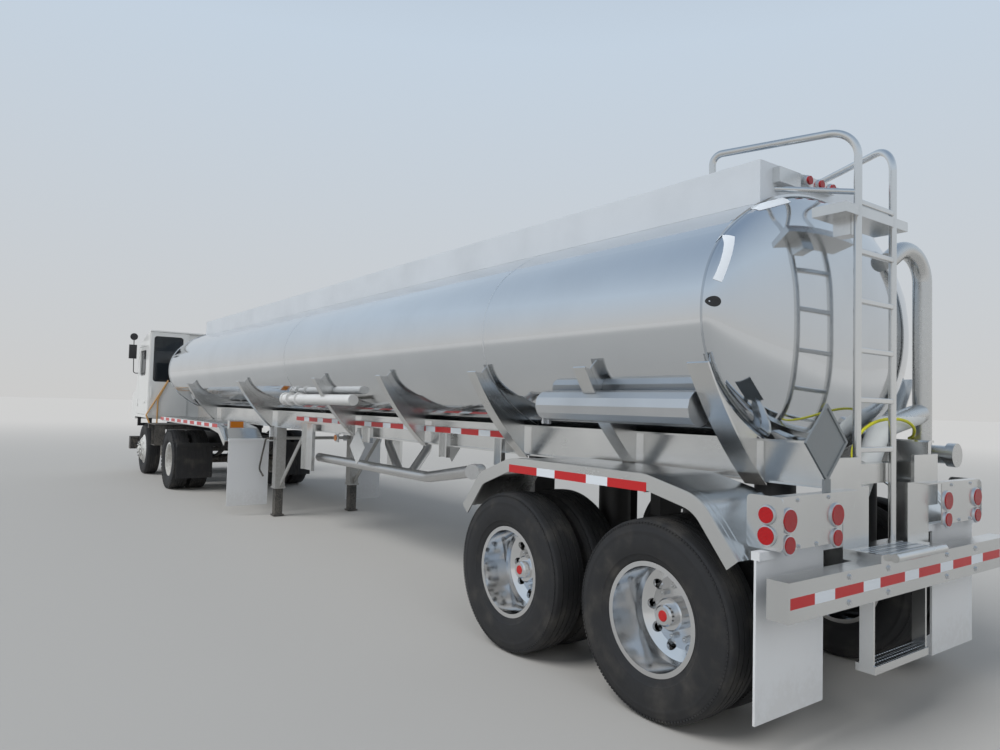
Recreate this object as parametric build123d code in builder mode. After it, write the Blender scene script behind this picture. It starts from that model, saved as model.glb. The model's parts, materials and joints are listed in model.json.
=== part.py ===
from build123d import *
import os
from math import atan2, degrees

# Articulated tanker: a polished tank semi-trailer on a terminal tractor, hinged at its kingpin.
# Millimetres. X points forward, Y to the left, Z up, and the ground is Z = 0.
os.makedirs("parts", exist_ok=True)

# Stations along the vehicle, measured forward from the rear trailer axle
AXLE_SPACING = 1250.0
KINGPIN = 11450.0
TANK_REAR = -225.0
TANK_FRONT = KINGPIN + 700
DAM_FRONT = TANK_FRONT - 410
LANDING_GEAR = 7470.0
FRONT_FLAP = LANDING_GEAR + 320
REAR_FLAP = -620.0
LAMP_PLATE = -700.0
LADDER = -620.0
VAPOUR_PIPE = -420.0
BUMPER_BACK = -820.0
NOSING_RADIUS, NOSING_OUT = 22.0, 20.0
REAR_END = BUMPER_BACK - NOSING_OUT - NOSING_RADIUS
# Tractor: axles behind the kingpin and ahead of it, then the cab and the ends of the frame
KINGPIN_LEAD = 90.0
WHEELBASE = 2950.0
DRIVE_AXLE = KINGPIN - KINGPIN_LEAD
STEER_STATION = DRIVE_AXLE + WHEELBASE
CAB_SETBACK, CAB_LENGTH = 840.0, 1280.0
CAB_BACK = STEER_STATION - CAB_SETBACK
CAB_FRONT = CAB_BACK + CAB_LENGTH
FRONT_OVERHANG = 890.0
FRONT_END = STEER_STATION + FRONT_OVERHANG
TAIL_LENGTH = 910.0
FRAME_TAIL = DRIVE_AXLE - TAIL_LENGTH
MID_STATION = (REAR_END + FRONT_END) / 2

# Clearances
SEAT = 0.3
RUN_GAP = 6.0
SHAFT_GAP = 0.5

# Overall width and the heights that several pieces share
HALF_WIDTH = 1220.0
COUPLER_Z = 1200.0
RAIL_BOTTOM = 1244.0
RAIL_TOP = 1480.0
RAIL_INNER = 520.0
RAIL_OUTER = 600.0
RAIL_WEB = 560.0
WEB = 10.0

# Tank section: four tangent arcs
TANK_HALF_WIDTH = 1090.0
TANK_HALF_HEIGHT = 785.0
TANK_SIDE_RADIUS = 600.0
TANK_AXIS_Z = 2151.0
BEAD = 8.0
BEAD_LENGTH = 24.0

# Wheels
TYRE_RADIUS = 523.0
TYRE_WIDTH = 270.0
RIM_RADIUS = 298.0
BEAD_SEAT = 286.0
DUAL_SPACING = 330.0
DUAL_FACE = HALF_WIDTH
OUTER_TYRE_Y = DUAL_FACE - TYRE_WIDTH / 2
HUB_PLANE_Y = OUTER_TYRE_Y - DUAL_SPACING / 2
HAND_HOLES = 10
HAND_HOLE_RADIUS = 30.0
HAND_HOLE_PITCH = 200.0
SPINDLE_RADIUS = 48.0
HUB_BORE = SPINDLE_RADIUS + SHAFT_GAP
STEER_TYRE_Y = 965.0
STEER_AXIS_Y = 850.0

# Spill dam and lids on the tank's roof
DAM_Y = 543.0
DAM_TOP = 3070.0
DAM_PLATE = 12.0
LID_STATIONS = (1500.0, 4700.0, 8600.0)
COLLAR_RADIUS = 300.0
COLLAR_TOP = 2985.0
LID_RADIUS = 230.0
LID_THICK = 30.0

# Tractor
FRAME_Y = 430.0
FRAME_TOP = 1000.0
FRAME_DEPTH = 240.0
CAB_LEFT = 1200.0
CAB_RIGHT = -270.0
CAB_FLOOR = 1200.0
CAB_ROOF = 2985.0
CAB_WALL = 50.0
NOSE_LOW = 1150.0
CAB_BEARER_REAR, CAB_BEARER_FRONT = CAB_BACK + 50, CAB_FRONT - 70


def at(station):
    """X of a station that is measured forward from the rear trailer axle."""
    return station - MID_STATION


def cross_plane(station, height=0.0):
    """Plane across the vehicle: its x is Y, its y is Z, and it faces forward."""
    return Plane(origin=(at(station), 0, height), x_dir=(0, 1, 0), z_dir=(1, 0, 0))


def side_plane(y):
    """Plane along the vehicle at a given Y: its x is X, its y is Z, facing right."""
    return Plane(origin=(0, y, 0), x_dir=(1, 0, 0), z_dir=(0, -1, 0))


def oval(grow=0.0, up=0.0, mode=Mode.ADD):
    """The tank's section of four tangent arcs, as an area of the open sketch."""
    a, b, r = TANK_HALF_WIDTH + grow, TANK_HALF_HEIGHT + grow, TANK_SIDE_RADIUS + grow
    big = (a * a + b * b - 2 * a * r) / (2 * (b - r))
    turn = degrees(atan2(big - b, a - r))
    with BuildLine() as outline:
        CenterArc((a - r, up), r, -turn, 2 * turn)
        CenterArc((0, up + b - big), big, turn, 180 - 2 * turn)
        CenterArc((r - a, up), r, 180 - turn, 2 * turn)
        CenterArc((0, up + big - b), big, 180 + turn, 180 - 2 * turn)
    make_face(outline.edges(), mode=mode)


def write(builder, name):
    """Label a finished piece and write it to its own file."""
    builder.part.label = name
    export_step(builder.part, f"parts/{name}.step")


def block(x0, x1, y0, y1, z0, z1, mode=Mode.ADD):
    """A box between two stations, two Y and two heights, in the open part."""
    with Locations(((at(x0) + at(x1)) / 2, (y0 + y1) / 2, (z0 + z1) / 2)):
        Box(abs(x1 - x0), abs(y1 - y0), abs(z1 - z0), mode=mode)


def pipe(points, radius, radii):
    """A bar or pipe along straight runs joined by arcs, in the open part."""
    with BuildLine() as route:
        if radii is None:
            Polyline(*points)
        else:
            FilletPolyline(*points, radius=radii)
    with BuildSketch(Plane(origin=route.line @ 0, z_dir=route.line % 0)) as section:
        Circle(radius)
    sweep(section.sketch, path=route.line)


# Tank shell with its two rim beads
with BuildPart() as tank_shell:
    with BuildSketch(cross_plane(TANK_REAR, TANK_AXIS_Z)):
        oval()
    extrude(amount=TANK_FRONT - TANK_REAR)
    for station in (TANK_REAR, TANK_FRONT - BEAD_LENGTH):
        with BuildSketch(cross_plane(station, TANK_AXIS_Z)):
            oval(BEAD)
        extrude(amount=BEAD_LENGTH)
write(tank_shell, "tank_shell")

# Dished heads: depth from the rim plane and how far the outline has closed in
HEAD_SECTIONS = ((0.0, 6.0), (60.0, 30.0), (125.0, 150.0), (175.0, 320.0), (200.0, 560.0))
with BuildPart() as tank_heads:
    for rim_station, way in ((TANK_REAR, -1), (TANK_FRONT, 1)):
        for depth, inset in HEAD_SECTIONS:
            with BuildSketch(cross_plane(rim_station + way * depth, TANK_AXIS_Z)):
                oval(-inset)
        loft()
write(tank_heads, "tank_heads")

# Spill dam: side rails along the roof with a wall at each end
with BuildPart() as spill_dam:
    with BuildSketch(cross_plane(TANK_REAR + BEAD_LENGTH + SEAT)):
        for side in (-1, 1):
            with Locations((side * DAM_Y, (DAM_TOP + 2700) / 2)):
                Rectangle(DAM_PLATE, DAM_TOP - 2700)
            with Locations((side * (DAM_Y - 20), DAM_TOP - 6)):
                Rectangle(52, 12)
        oval(SEAT, TANK_AXIS_Z, mode=Mode.SUBTRACT)
    extrude(amount=DAM_FRONT - TANK_REAR - BEAD_LENGTH - SEAT)
    for station in (TANK_REAR + BEAD_LENGTH + SEAT, DAM_FRONT - DAM_PLATE):
        with BuildSketch(cross_plane(station)):
            with Locations((0, (DAM_TOP + 2700) / 2)):
                Rectangle(2 * DAM_Y, DAM_TOP - 2700)
            oval(SEAT, TANK_AXIS_Z, mode=Mode.SUBTRACT)
        extrude(amount=DAM_PLATE)
write(spill_dam, "spill_dam")

# Manhole collars on the roof, each with a pair of hinge ears and the lid's hinge pin
HINGE_BACK = COLLAR_RADIUS - 30
HINGE_Z = COLLAR_TOP + 30.0
EAR_GAP = 60.0
PIN_RADIUS = 8.0
with BuildPart() as roof_fittings:
    for station in LID_STATIONS:
        with BuildSketch(Plane.XY.offset(2850)):
            with Locations((at(station), 0)):
                Circle(COLLAR_RADIUS)
        extrude(amount=COLLAR_TOP - 2850)
        for side in (-1, 1):
            y = side * (EAR_GAP / 2 + 9)
            block(station - HINGE_BACK - 26, station - HINGE_BACK + 26, y - 8, y + 8, COLLAR_TOP, HINGE_Z + 18)
        with BuildSketch(side_plane(-EAR_GAP / 2 - 17)):
            with Locations((at(station - HINGE_BACK), HINGE_Z)):
                Circle(PIN_RADIUS)
        extrude(amount=-(EAR_GAP + 34))
    with BuildSketch(cross_plane(0, TANK_AXIS_Z)):
        oval(SEAT)
    extrude(amount=TANK_FRONT, mode=Mode.SUBTRACT)
write(roof_fittings, "roof_fittings")

# Manhole lids: a low dome with a rim, a handle and the hinge tab
for number, station in enumerate(LID_STATIONS, start=1):
    with BuildPart() as lid:
        with BuildSketch(Plane.XY.offset(COLLAR_TOP + SEAT)):
            with Locations((at(station), 0)):
                Circle(LID_RADIUS)
        extrude(amount=LID_THICK)
        fillet(lid.edges().sort_by(Axis.Z)[-1], 20)
        with Locations((at(station), 0, COLLAR_TOP + SEAT + LID_THICK)):
            Cylinder(60, 14, align=(Align.CENTER, Align.CENTER, Align.MIN))
        block(station - HINGE_BACK - 14, station - LID_RADIUS + 30, -EAR_GAP / 2 + 4, EAR_GAP / 2 - 4,
              HINGE_Z - 14, HINGE_Z + 14)
        with BuildSketch(side_plane(-EAR_GAP)):
            with Locations((at(station - HINGE_BACK), HINGE_Z)):
                Circle(PIN_RADIUS + SHAFT_GAP)
        extrude(amount=-2 * EAR_GAP, mode=Mode.SUBTRACT)
    write(lid, f"manhole_lid_{number}")

TUBE_Y, TUBE_Z, TUBE_RADIUS = 965.0, 1636.0, 100.0
LONG_TUBE_Y, LONG_TUBE_Z, LONG_TUBE_RADIUS = 950.0, 1644.0, 57.0
LONG_TUBE_REAR, LONG_TUBE_FRONT = 4250.0, 6250.0
# Saddle gussets below the tank. Columns: station, flange width
CRADLES = ((-227, 138), (670, 110), (1854, 110), (3391, 90), (4937, 90), (7696, 110),
           (KINGPIN - 859, 110))
GUSSET_TIP = (1118.0, 1870.0)
GUSSET_MID = (850.0, 1480.0)
GUSSET_FOOT = (RAIL_OUTER + SEAT, 1225.0)
with BuildPart() as cradles:
    for station, width in CRADLES:
        for thick, inner in ((width, False), (WEB, True)):
            with BuildSketch(cross_plane(station - thick / 2)):
                with BuildLine() as outer:
                    ThreePointArc(GUSSET_TIP, GUSSET_MID, GUSSET_FOOT)
                    if inner:
                        Polyline(GUSSET_FOOT, (GUSSET_FOOT[0], TANK_AXIS_Z), (GUSSET_TIP[0], TANK_AXIS_Z), GUSSET_TIP)
                    else:
                        Line(GUSSET_FOOT, (GUSSET_FOOT[0], GUSSET_FOOT[1] + 12))
                        ThreePointArc((GUSSET_FOOT[0], GUSSET_FOOT[1] + 12), (GUSSET_MID[0] - 6, GUSSET_MID[1] + 10),
                                      (GUSSET_TIP[0] - 8, GUSSET_TIP[1] + 8))
                        Line((GUSSET_TIP[0] - 8, GUSSET_TIP[1] + 8), GUSSET_TIP)
                make_face()
                if inner:
                    with Locations((GUSSET_TIP[0], GUSSET_TIP[1] + 300)):
                        Rectangle(600, 600, mode=Mode.SUBTRACT)
                oval(SEAT + (BEAD if station < 0 else 0), TANK_AXIS_Z, mode=Mode.SUBTRACT)
                mirror(about=Plane.YZ)
            extrude(amount=thick)
    for side in (-1, 1):
        for start, length, y, z, radius in ((0, 1200, TUBE_Y, TUBE_Z, TUBE_RADIUS),
                                            (LONG_TUBE_REAR, LONG_TUBE_FRONT - LONG_TUBE_REAR, LONG_TUBE_Y,
                                             LONG_TUBE_Z, LONG_TUBE_RADIUS)):
            with BuildSketch(cross_plane(start)):
                with Locations((side * y, z)):
                    Circle(radius + SEAT)
            extrude(amount=length, mode=Mode.SUBTRACT)
write(cradles, "cradles")

# Frame: two long channels beside the tank's belly, with crossmembers and end posts
FRAME_REAR = -640.0
COUPLER_REAR, COUPLER_FRONT, COUPLER_HALF = KINGPIN - 800, KINGPIN + 600, 600.0
FRAME_FRONT = COUPLER_FRONT
POST_SHEET, POST_LIP = 8.0, 40.0
SIDE_MARKER_X, SIDE_MARKER_Y, SIDE_MARKER_Z = 5390.0, 622.0, 1200.0
# Posts that hang from the rails. Columns: rear, front, low, top
RAIL_POSTS = ((2095, 2200, 1142, 1357), (2930, 3060, 1145, 1360), (4480, 4660, 1190, 1350),
              (6085, 6440, 750, 1330))
CROSS_STATIONS = (-550.0, 670.0, 1854.0, 3391.0, 4937.0, 6300.0, 7696.0, 9200.0)
with BuildPart() as trailer_frame:
    with BuildSketch(cross_plane(FRAME_REAR)):
        with Locations(((RAIL_INNER + RAIL_OUTER) / 2, (RAIL_BOTTOM + RAIL_TOP) / 2)):
            Rectangle(RAIL_OUTER - RAIL_INNER, RAIL_TOP - RAIL_BOTTOM)
        with Locations((RAIL_WEB + 30, (RAIL_BOTTOM + RAIL_TOP) / 2)):
            Rectangle(60, RAIL_TOP - RAIL_BOTTOM - 24, mode=Mode.SUBTRACT)
        oval(SEAT, TANK_AXIS_Z, mode=Mode.SUBTRACT)
        mirror(about=Plane.YZ)
    extrude(amount=FRAME_FRONT - FRAME_REAR)
    for station in CROSS_STATIONS:
        block(station - 40, station + 40, -RAIL_INNER - 5, RAIL_INNER + 5, RAIL_BOTTOM, RAIL_BOTTOM + 110)
    with BuildSketch(cross_plane(TANK_REAR - SEAT, TANK_AXIS_Z)):
        oval(BEAD + SEAT)
    extrude(amount=BEAD_LENGTH + 2 * SEAT, mode=Mode.SUBTRACT)
    for side in (-1, 1):
        block(SIDE_MARKER_X - 45, SIDE_MARKER_X + 45, side * (RAIL_OUTER + POST_SHEET), side * SIDE_MARKER_Y,
              SIDE_MARKER_Z - 50, SIDE_MARKER_Z + 50)
        block(SIDE_MARKER_X - 45, SIDE_MARKER_X + 45, side * (RAIL_OUTER - 10), side * (RAIL_OUTER + POST_SHEET),
              RAIL_BOTTOM - 4, RAIL_BOTTOM + 18)
        for rear, front, low, top in RAIL_POSTS:
            block(rear, front, side * RAIL_OUTER, side * (RAIL_OUTER + POST_SHEET), low, top)
            for station in (rear, front - POST_SHEET):
                block(station, station + POST_SHEET, side * RAIL_OUTER, side * (RAIL_OUTER + POST_LIP), low, top)
write(trailer_frame, "trailer_frame")

# Upper coupler: plate under the front of the frame with the kingpin
KINGPIN_RADIUS, KINGPIN_NECK, KINGPIN_LOW = 25.4, 35.5, 84.0
with BuildPart() as upper_coupler:
    block(COUPLER_REAR, COUPLER_FRONT, -COUPLER_HALF, COUPLER_HALF, COUPLER_Z + SEAT, RAIL_BOTTOM)
    with BuildSketch(Plane(origin=(at(KINGPIN), 0, 0), x_dir=(1, 0, 0), z_dir=(0, -1, 0))):
        with BuildLine():
            Polyline((0, COUPLER_Z + 10), (KINGPIN_NECK, COUPLER_Z + 10), (KINGPIN_NECK, COUPLER_Z - 20),
                     (KINGPIN_RADIUS, COUPLER_Z - 20), (KINGPIN_RADIUS, COUPLER_Z - 60),
                     (KINGPIN_NECK, COUPLER_Z - 64), (KINGPIN_NECK, COUPLER_Z - KINGPIN_LOW),
                     (0, COUPLER_Z - KINGPIN_LOW), close=True)
        make_face()
    revolve(axis=Axis((at(KINGPIN), 0, 0), (0, 0, 1)))
write(upper_coupler, "upper_coupler")

# Landing gear: two telescopic legs with braces, a cross shaft and the crank on the left
LEG_Y = 560.0
LEG_HALF = 68.0
INNER_HALF = 54.0
LEG_SPLIT = 390.0
FOOT_GAP = 10.0
LEG_TOP = RAIL_BOTTOM - SEAT
with BuildPart() as landing_gear:
    for side in (-1, 1):
        y = side * LEG_Y
        block(LANDING_GEAR - LEG_HALF, LANDING_GEAR + LEG_HALF, y - LEG_HALF, y + LEG_HALF, LEG_SPLIT, LEG_TOP)
        block(LANDING_GEAR - LEG_HALF - 10, LANDING_GEAR + LEG_HALF + 10, y - LEG_HALF - 10, y + LEG_HALF + 10,
              LEG_SPLIT, LEG_SPLIT + 25)
        block(LANDING_GEAR - INNER_HALF, LANDING_GEAR + INNER_HALF, y - INNER_HALF, y + INNER_HALF,
              FOOT_GAP, LEG_SPLIT)
        block(LANDING_GEAR - 72, LANDING_GEAR + 72, y - 72, y + 72, FOOT_GAP, FOOT_GAP + 18)
        with BuildSketch(side_plane(y + 8)):
            with BuildLine():
                Polyline((at(LANDING_GEAR), LEG_SPLIT + 30), (at(LANDING_GEAR - 930), LEG_TOP),
                         (at(LANDING_GEAR - 1010), LEG_TOP), (at(LANDING_GEAR - 60), LEG_SPLIT), close=True)
            make_face()
        extrude(amount=16)
    pipe([(at(LANDING_GEAR), -LEG_Y, 1090), (at(LANDING_GEAR), LEG_Y + 150, 1090)], 22, None)
    pipe([(at(LANDING_GEAR), LEG_Y + 120, 1090), (at(LANDING_GEAR) + 90, LEG_Y + 170, 1080),
          (at(LANDING_GEAR) + 275, LEG_Y + 190, 640), (at(LANDING_GEAR) + 90, LEG_Y + 190, 560)], 12, [40, 60])
write(landing_gear, "landing_gear")

# Fenders: a ribbed sheet arched over the duals. Columns: reach along, height
FENDER_INNER, FENDER_OUTER = 668.0, HALF_WIDTH
FENDER_THICK = 8.0
FENDER_TOP = 1285.0
REAR_ARCH = ((1757, 902), (1560, 1145), (1210, FENDER_TOP - 10), (20, FENDER_TOP - 10), (-337, 1195), (-556, 925))
REAR_ARCH_RADII = (160, 420, 420, 260)
FRONT_ARCH = ((KINGPIN + 500, 1262), (FRONT_FLAP + 860, 1262), (FRONT_FLAP + 330, 1200), (FRONT_FLAP + 42, 1035))
FRONT_ARCH_RADII = (700, 260)
EDGE_ROLL = 16.0
LIP_DEPTH, LIP_SHEET = 75.0, 8.0
FENDER_STAYS = (60.0, 1150.0, 9000.0, 9900.0, KINGPIN + 50)
STAY_LOW, STAY_TOP = 1257.0, 1271.0
with BuildPart() as fenders:
    for arch, radii in ((REAR_ARCH, REAR_ARCH_RADII), (FRONT_ARCH, FRONT_ARCH_RADII)):
        for side in (-1, 1):
            points = [(at(s), z) for s, z in arch]
            near = FENDER_INNER if side > 0 else -FENDER_OUTER
            with BuildSketch(side_plane(near)):
                with BuildLine() as line:
                    FilletPolyline(*points, radius=list(radii))
                trace(line.edges(), line_width=FENDER_THICK)
            extrude(amount=-(FENDER_OUTER - FENDER_INNER))
            with BuildSketch(side_plane(FENDER_OUTER if side > 0 else LIP_SHEET - FENDER_OUTER)):
                with BuildLine() as line:
                    FilletPolyline(*points, radius=list(radii))
                    offset(amount=LIP_DEPTH, side=Side.LEFT)
                make_face()
            extrude(amount=LIP_SHEET)
            for inset in (EDGE_ROLL, 55.0, 95.0):
                with BuildSketch(side_plane(side * (FENDER_OUTER - inset) + 14)):
                    with BuildLine() as line:
                        FilletPolyline(*points, radius=list(radii))
                    trace(line.edges(), line_width=EDGE_ROLL)
                extrude(amount=28)
    for side in (-1, 1):
        for station in FENDER_STAYS:
            block(station - 25, station + 25, side * (RAIL_WEB + SEAT), side * (FENDER_OUTER - 60),
                  STAY_LOW, STAY_TOP)
write(fenders, "fenders")

# Mud flaps: white sheets behind the tandem and behind the front fenders
FLAP_INNER, FLAP_OUTER = 605.0, 1175.0
with BuildPart() as mud_flaps:
    for station, low, top, hanger in ((REAR_FLAP, 190.0, 940.0, 480 + SEAT), (FRONT_FLAP, 130.0, 1030.0, 550)):
        for side in (-1, 1):
            block(station - 6, station + 6, side * FLAP_INNER, side * FLAP_OUTER, low, top)
            block(station - 22, station + 22, side * hanger, side * FLAP_OUTER, top, top + 40)
        if station == FRONT_FLAP:
            for side in (-1, 1):
                block(station - 22, station + 22, side * hanger, side * RAIL_OUTER, top, RAIL_BOTTOM - SEAT)
write(mud_flaps, "mud_flaps")

# Rear bumper: a box channel across the back, two uprights and the hanging step
BUMPER_LOW, BUMPER_HIGH, BUMPER_DEPTH = 704.0, 883.0, 110.0
POST_Y, POST_HALF = 350.0, 130.0
POST_FRONT, POST_BACK = -560.0, -660.0
STEP_TOP = BUMPER_HIGH + 40
LADDER_Y0, LADDER_Y1 = -120.0, 270.0
with BuildPart() as bumper:
    block(BUMPER_BACK, BUMPER_BACK + BUMPER_DEPTH, -HALF_WIDTH, HALF_WIDTH, BUMPER_LOW, BUMPER_HIGH)
    block(BUMPER_BACK + WEB, BUMPER_BACK + BUMPER_DEPTH + 1, WEB - HALF_WIDTH, HALF_WIDTH - WEB,
          BUMPER_LOW + WEB, BUMPER_HIGH - WEB, mode=Mode.SUBTRACT)
    for side in (-1, 1):
        block(BUMPER_BACK + WEB / 2, POST_BACK + 20, side * (POST_Y - POST_HALF), side * (POST_Y + POST_HALF),
              BUMPER_LOW, BUMPER_HIGH)
        block(POST_BACK, POST_FRONT, side * (POST_Y - POST_HALF), side * (POST_Y + POST_HALF), BUMPER_LOW,
              RAIL_BOTTOM - SEAT)
        block(POST_BACK, FRAME_REAR - SEAT, side * 300, side * RAIL_OUTER, 1100, 1400)
    block(BUMPER_BACK, POST_BACK, -130, 410, BUMPER_HIGH, STEP_TOP)
    block(POST_BACK, LADDER + 35, LADDER_Y0 - 30, POST_Y - POST_HALF, BUMPER_HIGH, STEP_TOP)
    pipe([(at(BUMPER_BACK - NOSING_OUT), -250, BUMPER_HIGH + 18),
          (at(BUMPER_BACK - NOSING_OUT), 310, BUMPER_HIGH + 18)], NOSING_RADIUS, None)
    for y in (-122, 440):
        block(BUMPER_BACK + 20, BUMPER_BACK + 90, y - 8, y + 8, 345, BUMPER_LOW)
    block(BUMPER_BACK + 10, BUMPER_BACK + 110, -130, 448, 335, 375)
write(bumper, "bumper")

# Lamp housings at the tail, one each side, open below
LAMP_BOX_Y0, LAMP_BOX_Y1, LAMP_BOX_Z0, LAMP_BOX_Z1 = 560.0, 1100.0, 985.0, 1235.0
LAMP_BOX_FRONT = -520.0
SIDE_PLATE_REAR = -712.0
SHEET = 6.0
TOP_LAMP_REAR, TOP_LAMP_Z = -252.0, 3020.0
MARKER_REAR, MARKER_INNER, MARKER_LOW, MARKER_TOP = FRONT_FLAP - 100, 1000.0, 1215.0, 1325.0
with BuildPart() as lamp_boxes:
    for side in (-1, 1):
        inner, outer = side * LAMP_BOX_Y0, side * LAMP_BOX_Y1
        block(LAMP_PLATE, LAMP_PLATE + SHEET, inner, outer, LAMP_BOX_Z0, LAMP_BOX_Z1)
        with BuildSketch(side_plane(outer)):
            with Locations(((at(SIDE_PLATE_REAR) + at(LAMP_BOX_FRONT)) / 2, (LAMP_BOX_Z0 + LAMP_BOX_Z1) / 2)):
                RectangleRounded(LAMP_BOX_FRONT - SIDE_PLATE_REAR, LAMP_BOX_Z1 - LAMP_BOX_Z0, 25)
        extrude(amount=side * SHEET)
        block(LAMP_PLATE, FRAME_REAR - SEAT, side * RAIL_OUTER, outer, LAMP_BOX_Z1 - SHEET, LAMP_BOX_Z1)
        block(LAMP_PLATE, POST_BACK - SEAT, side * (POST_Y + 40), side * (RAIL_OUTER + 10),
              LAMP_BOX_Z1 - SHEET, LAMP_BOX_Z1)
    block(TOP_LAMP_REAR + 12, TANK_REAR + BEAD_LENGTH, -170, 170, TOP_LAMP_Z - 30, TOP_LAMP_Z + 30)
    block(TOP_LAMP_REAR + 4, TANK_REAR + BEAD_LENGTH, 215, 430, TOP_LAMP_Z - 65, TOP_LAMP_Z + 25)
    for side in (-1, 1):
        block(MARKER_REAR, MARKER_REAR + 90, side * MARKER_INNER, side * (FENDER_OUTER - 20), MARKER_LOW, MARKER_TOP)
        block(MARKER_REAR + 90, FRONT_FLAP + 557, side * (FENDER_OUTER - 120), side * (FENDER_OUTER - 80),
              MARKER_LOW + 20, MARKER_LOW + 50)
write(lamp_boxes, "lamp_boxes")

# Tail lamps. Columns: Y, Z, radius
TOP_LAMPS_Y = (-130.0, 0.0, 130.0)
REAR_LAMPS = ((624, 1125, 52), (624, 1012, 40), (1040, 1125, 52), (1040, 1012, 40))
SIDE_LAMPS = ((-632, 1147, 38), (-632, 1050, 42))
with BuildPart() as lamps:
    for side in (-1, 1):
        for y, z, radius in REAR_LAMPS:
            with BuildSketch(cross_plane(LAMP_PLATE)):
                with Locations((side * y, z)):
                    Circle(radius)
            extrude(amount=-16)
        for station, z, radius in SIDE_LAMPS:
            with BuildSketch(side_plane(side * LAMP_BOX_Y1)):
                with Locations((at(station), z)):
                    Circle(radius)
            extrude(amount=-side * 16)
    for y in TOP_LAMPS_Y:
        with BuildSketch(cross_plane(TOP_LAMP_REAR + 12)):
            with Locations((y, TOP_LAMP_Z)):
                Circle(26)
        extrude(amount=-22)
write(lamps, "lamps")

# Amber lamps: one on each side below the rail, one at the rear of each front fender
with BuildPart() as amber_lamps:
    for side in (-1, 1):
        block(MARKER_REAR - 8, MARKER_REAR, side * (MARKER_INNER + 12), side * (FENDER_OUTER - 32), MARKER_LOW + 12,
              MARKER_TOP - 12)
        with BuildSketch(side_plane(side * SIDE_MARKER_Y)):
            with Locations((at(SIDE_MARKER_X), SIDE_MARKER_Z)):
                Circle(36)
        extrude(amount=-side * 18)
write(amber_lamps, "amber_lamps")

# Ladder with handrails that curve forward onto the spill dam
HANDRAIL_Z = 3190.0
RUNG_STEP = 270.0
RUNGS = 6
RUNG_FIRST = 1435.0
RAIL_RADIUS = 21.0
PLATFORM_FRONT, PLATFORM_Z = -440.0, 2730.0
with BuildPart() as ladder:
    for y, foot, end_y in ((LADDER_Y0, STEP_TOP, 20 - DAM_Y), (LADDER_Y1, RAIL_BOTTOM, DAM_Y - 20)):
        pipe([(at(LADDER), y, foot + SEAT), (at(LADDER), y, HANDRAIL_Z), (at(150), end_y, HANDRAIL_Z),
              (at(150), end_y, DAM_TOP + SEAT)], RAIL_RADIUS, [150, 60])
    for step in range(RUNGS):
        z = RUNG_FIRST + step * RUNG_STEP
        with BuildSketch(side_plane(LADDER_Y1)):
            with Locations((at(LADDER), z)):
                RectangleRounded(30, 30, 6)
        extrude(amount=LADDER_Y1 - LADDER_Y0)
    block(LADDER - 15, PLATFORM_FRONT, LADDER_Y0 - 150, LADDER_Y1 + 150, PLATFORM_Z - 25, PLATFORM_Z + 30)
    block(LADDER + 30, LADDER + 130, LADDER_Y1 - 80, LADDER_Y1 + 20, PLATFORM_Z - 120, PLATFORM_Z - 25)
    pipe([(at(LADDER), LADDER_Y1, 2840), (at(TANK_REAR + BEAD_LENGTH) + 6, 400, 2928)], 16, None)
    block(TANK_REAR + BEAD_LENGTH, TANK_REAR + 2 * BEAD_LENGTH, 360, 440, 2890, 2970, mode=Mode.SUBTRACT)
write(ladder, "ladder")

# Vapour pipe at the right rear: from the roof down to a capped coupling
VAPOUR_Y = -900.0
VAPOUR_RADIUS = 57.0
VAPOUR_COUPLING_Z = 1385.0
HOSE_STATION, HOSE_RADIUS = -433.0, 66.0
with BuildPart() as vapour_pipe:
    pipe([(at(TANK_REAR - 175), -520, 2600), (at(VAPOUR_PIPE - 20), VAPOUR_Y, 2860),
          (at(VAPOUR_PIPE - 20), VAPOUR_Y, VAPOUR_COUPLING_Z)], VAPOUR_RADIUS, [190])
    pipe([(at(VAPOUR_PIPE + 100), VAPOUR_Y, VAPOUR_COUPLING_Z),
          (at(VAPOUR_PIPE - 180), VAPOUR_Y, VAPOUR_COUPLING_Z)], VAPOUR_RADIUS, None)
    with BuildSketch(cross_plane(VAPOUR_PIPE - 180)):
        with Locations((VAPOUR_Y, VAPOUR_COUPLING_Z)):
            Circle(VAPOUR_RADIUS + 18)
    extrude(amount=-50)
    add(tank_heads.part.moved(Location((-SEAT, 0, 0))), mode=Mode.SUBTRACT)
    hose_bend = Vector(at(HOSE_STATION), -360, RAIL_TOP + HOSE_RADIUS)
    hose_end = Vector(at(HOSE_STATION), -50, 1110)
    pipe([(at(HOSE_STATION), VAPOUR_Y + 30, RAIL_TOP + 160), tuple(hose_bend), tuple(hose_end)],
         HOSE_RADIUS, [140])
    with BuildSketch(Plane(origin=hose_bend * 0.5 + hose_end * 0.5, z_dir=hose_end - hose_bend)):
        Circle(HOSE_RADIUS + 9)
    extrude(amount=24)
write(vapour_pipe, "vapour_pipe")

# Product piping under the belly: a header along the left, two drops from the tank and the outlet that
# turns out to the left with its ringed coupling
PRODUCT_Y, PRODUCT_Z, PRODUCT_RADIUS, DROP_RADIUS = 490.0, 914.0, 52.0, 46.0
# Drops. Columns: station at the tank, station at the header
DROPS = ((5040, 4058), (4127, 3827))
DROP_Y, DROP_KNEE = 120.0, 1150.0
COUPLING_RADIUS, COUPLING_LENGTH = 60.0, 70.0
OUTLET_KNEE = Vector(at(2200), 760, 1100)
OUTLET_WAY = Vector(-0.54, 0.84, 0).normalized()
OUTLET_END = OUTLET_KNEE + OUTLET_WAY * 120
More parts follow.
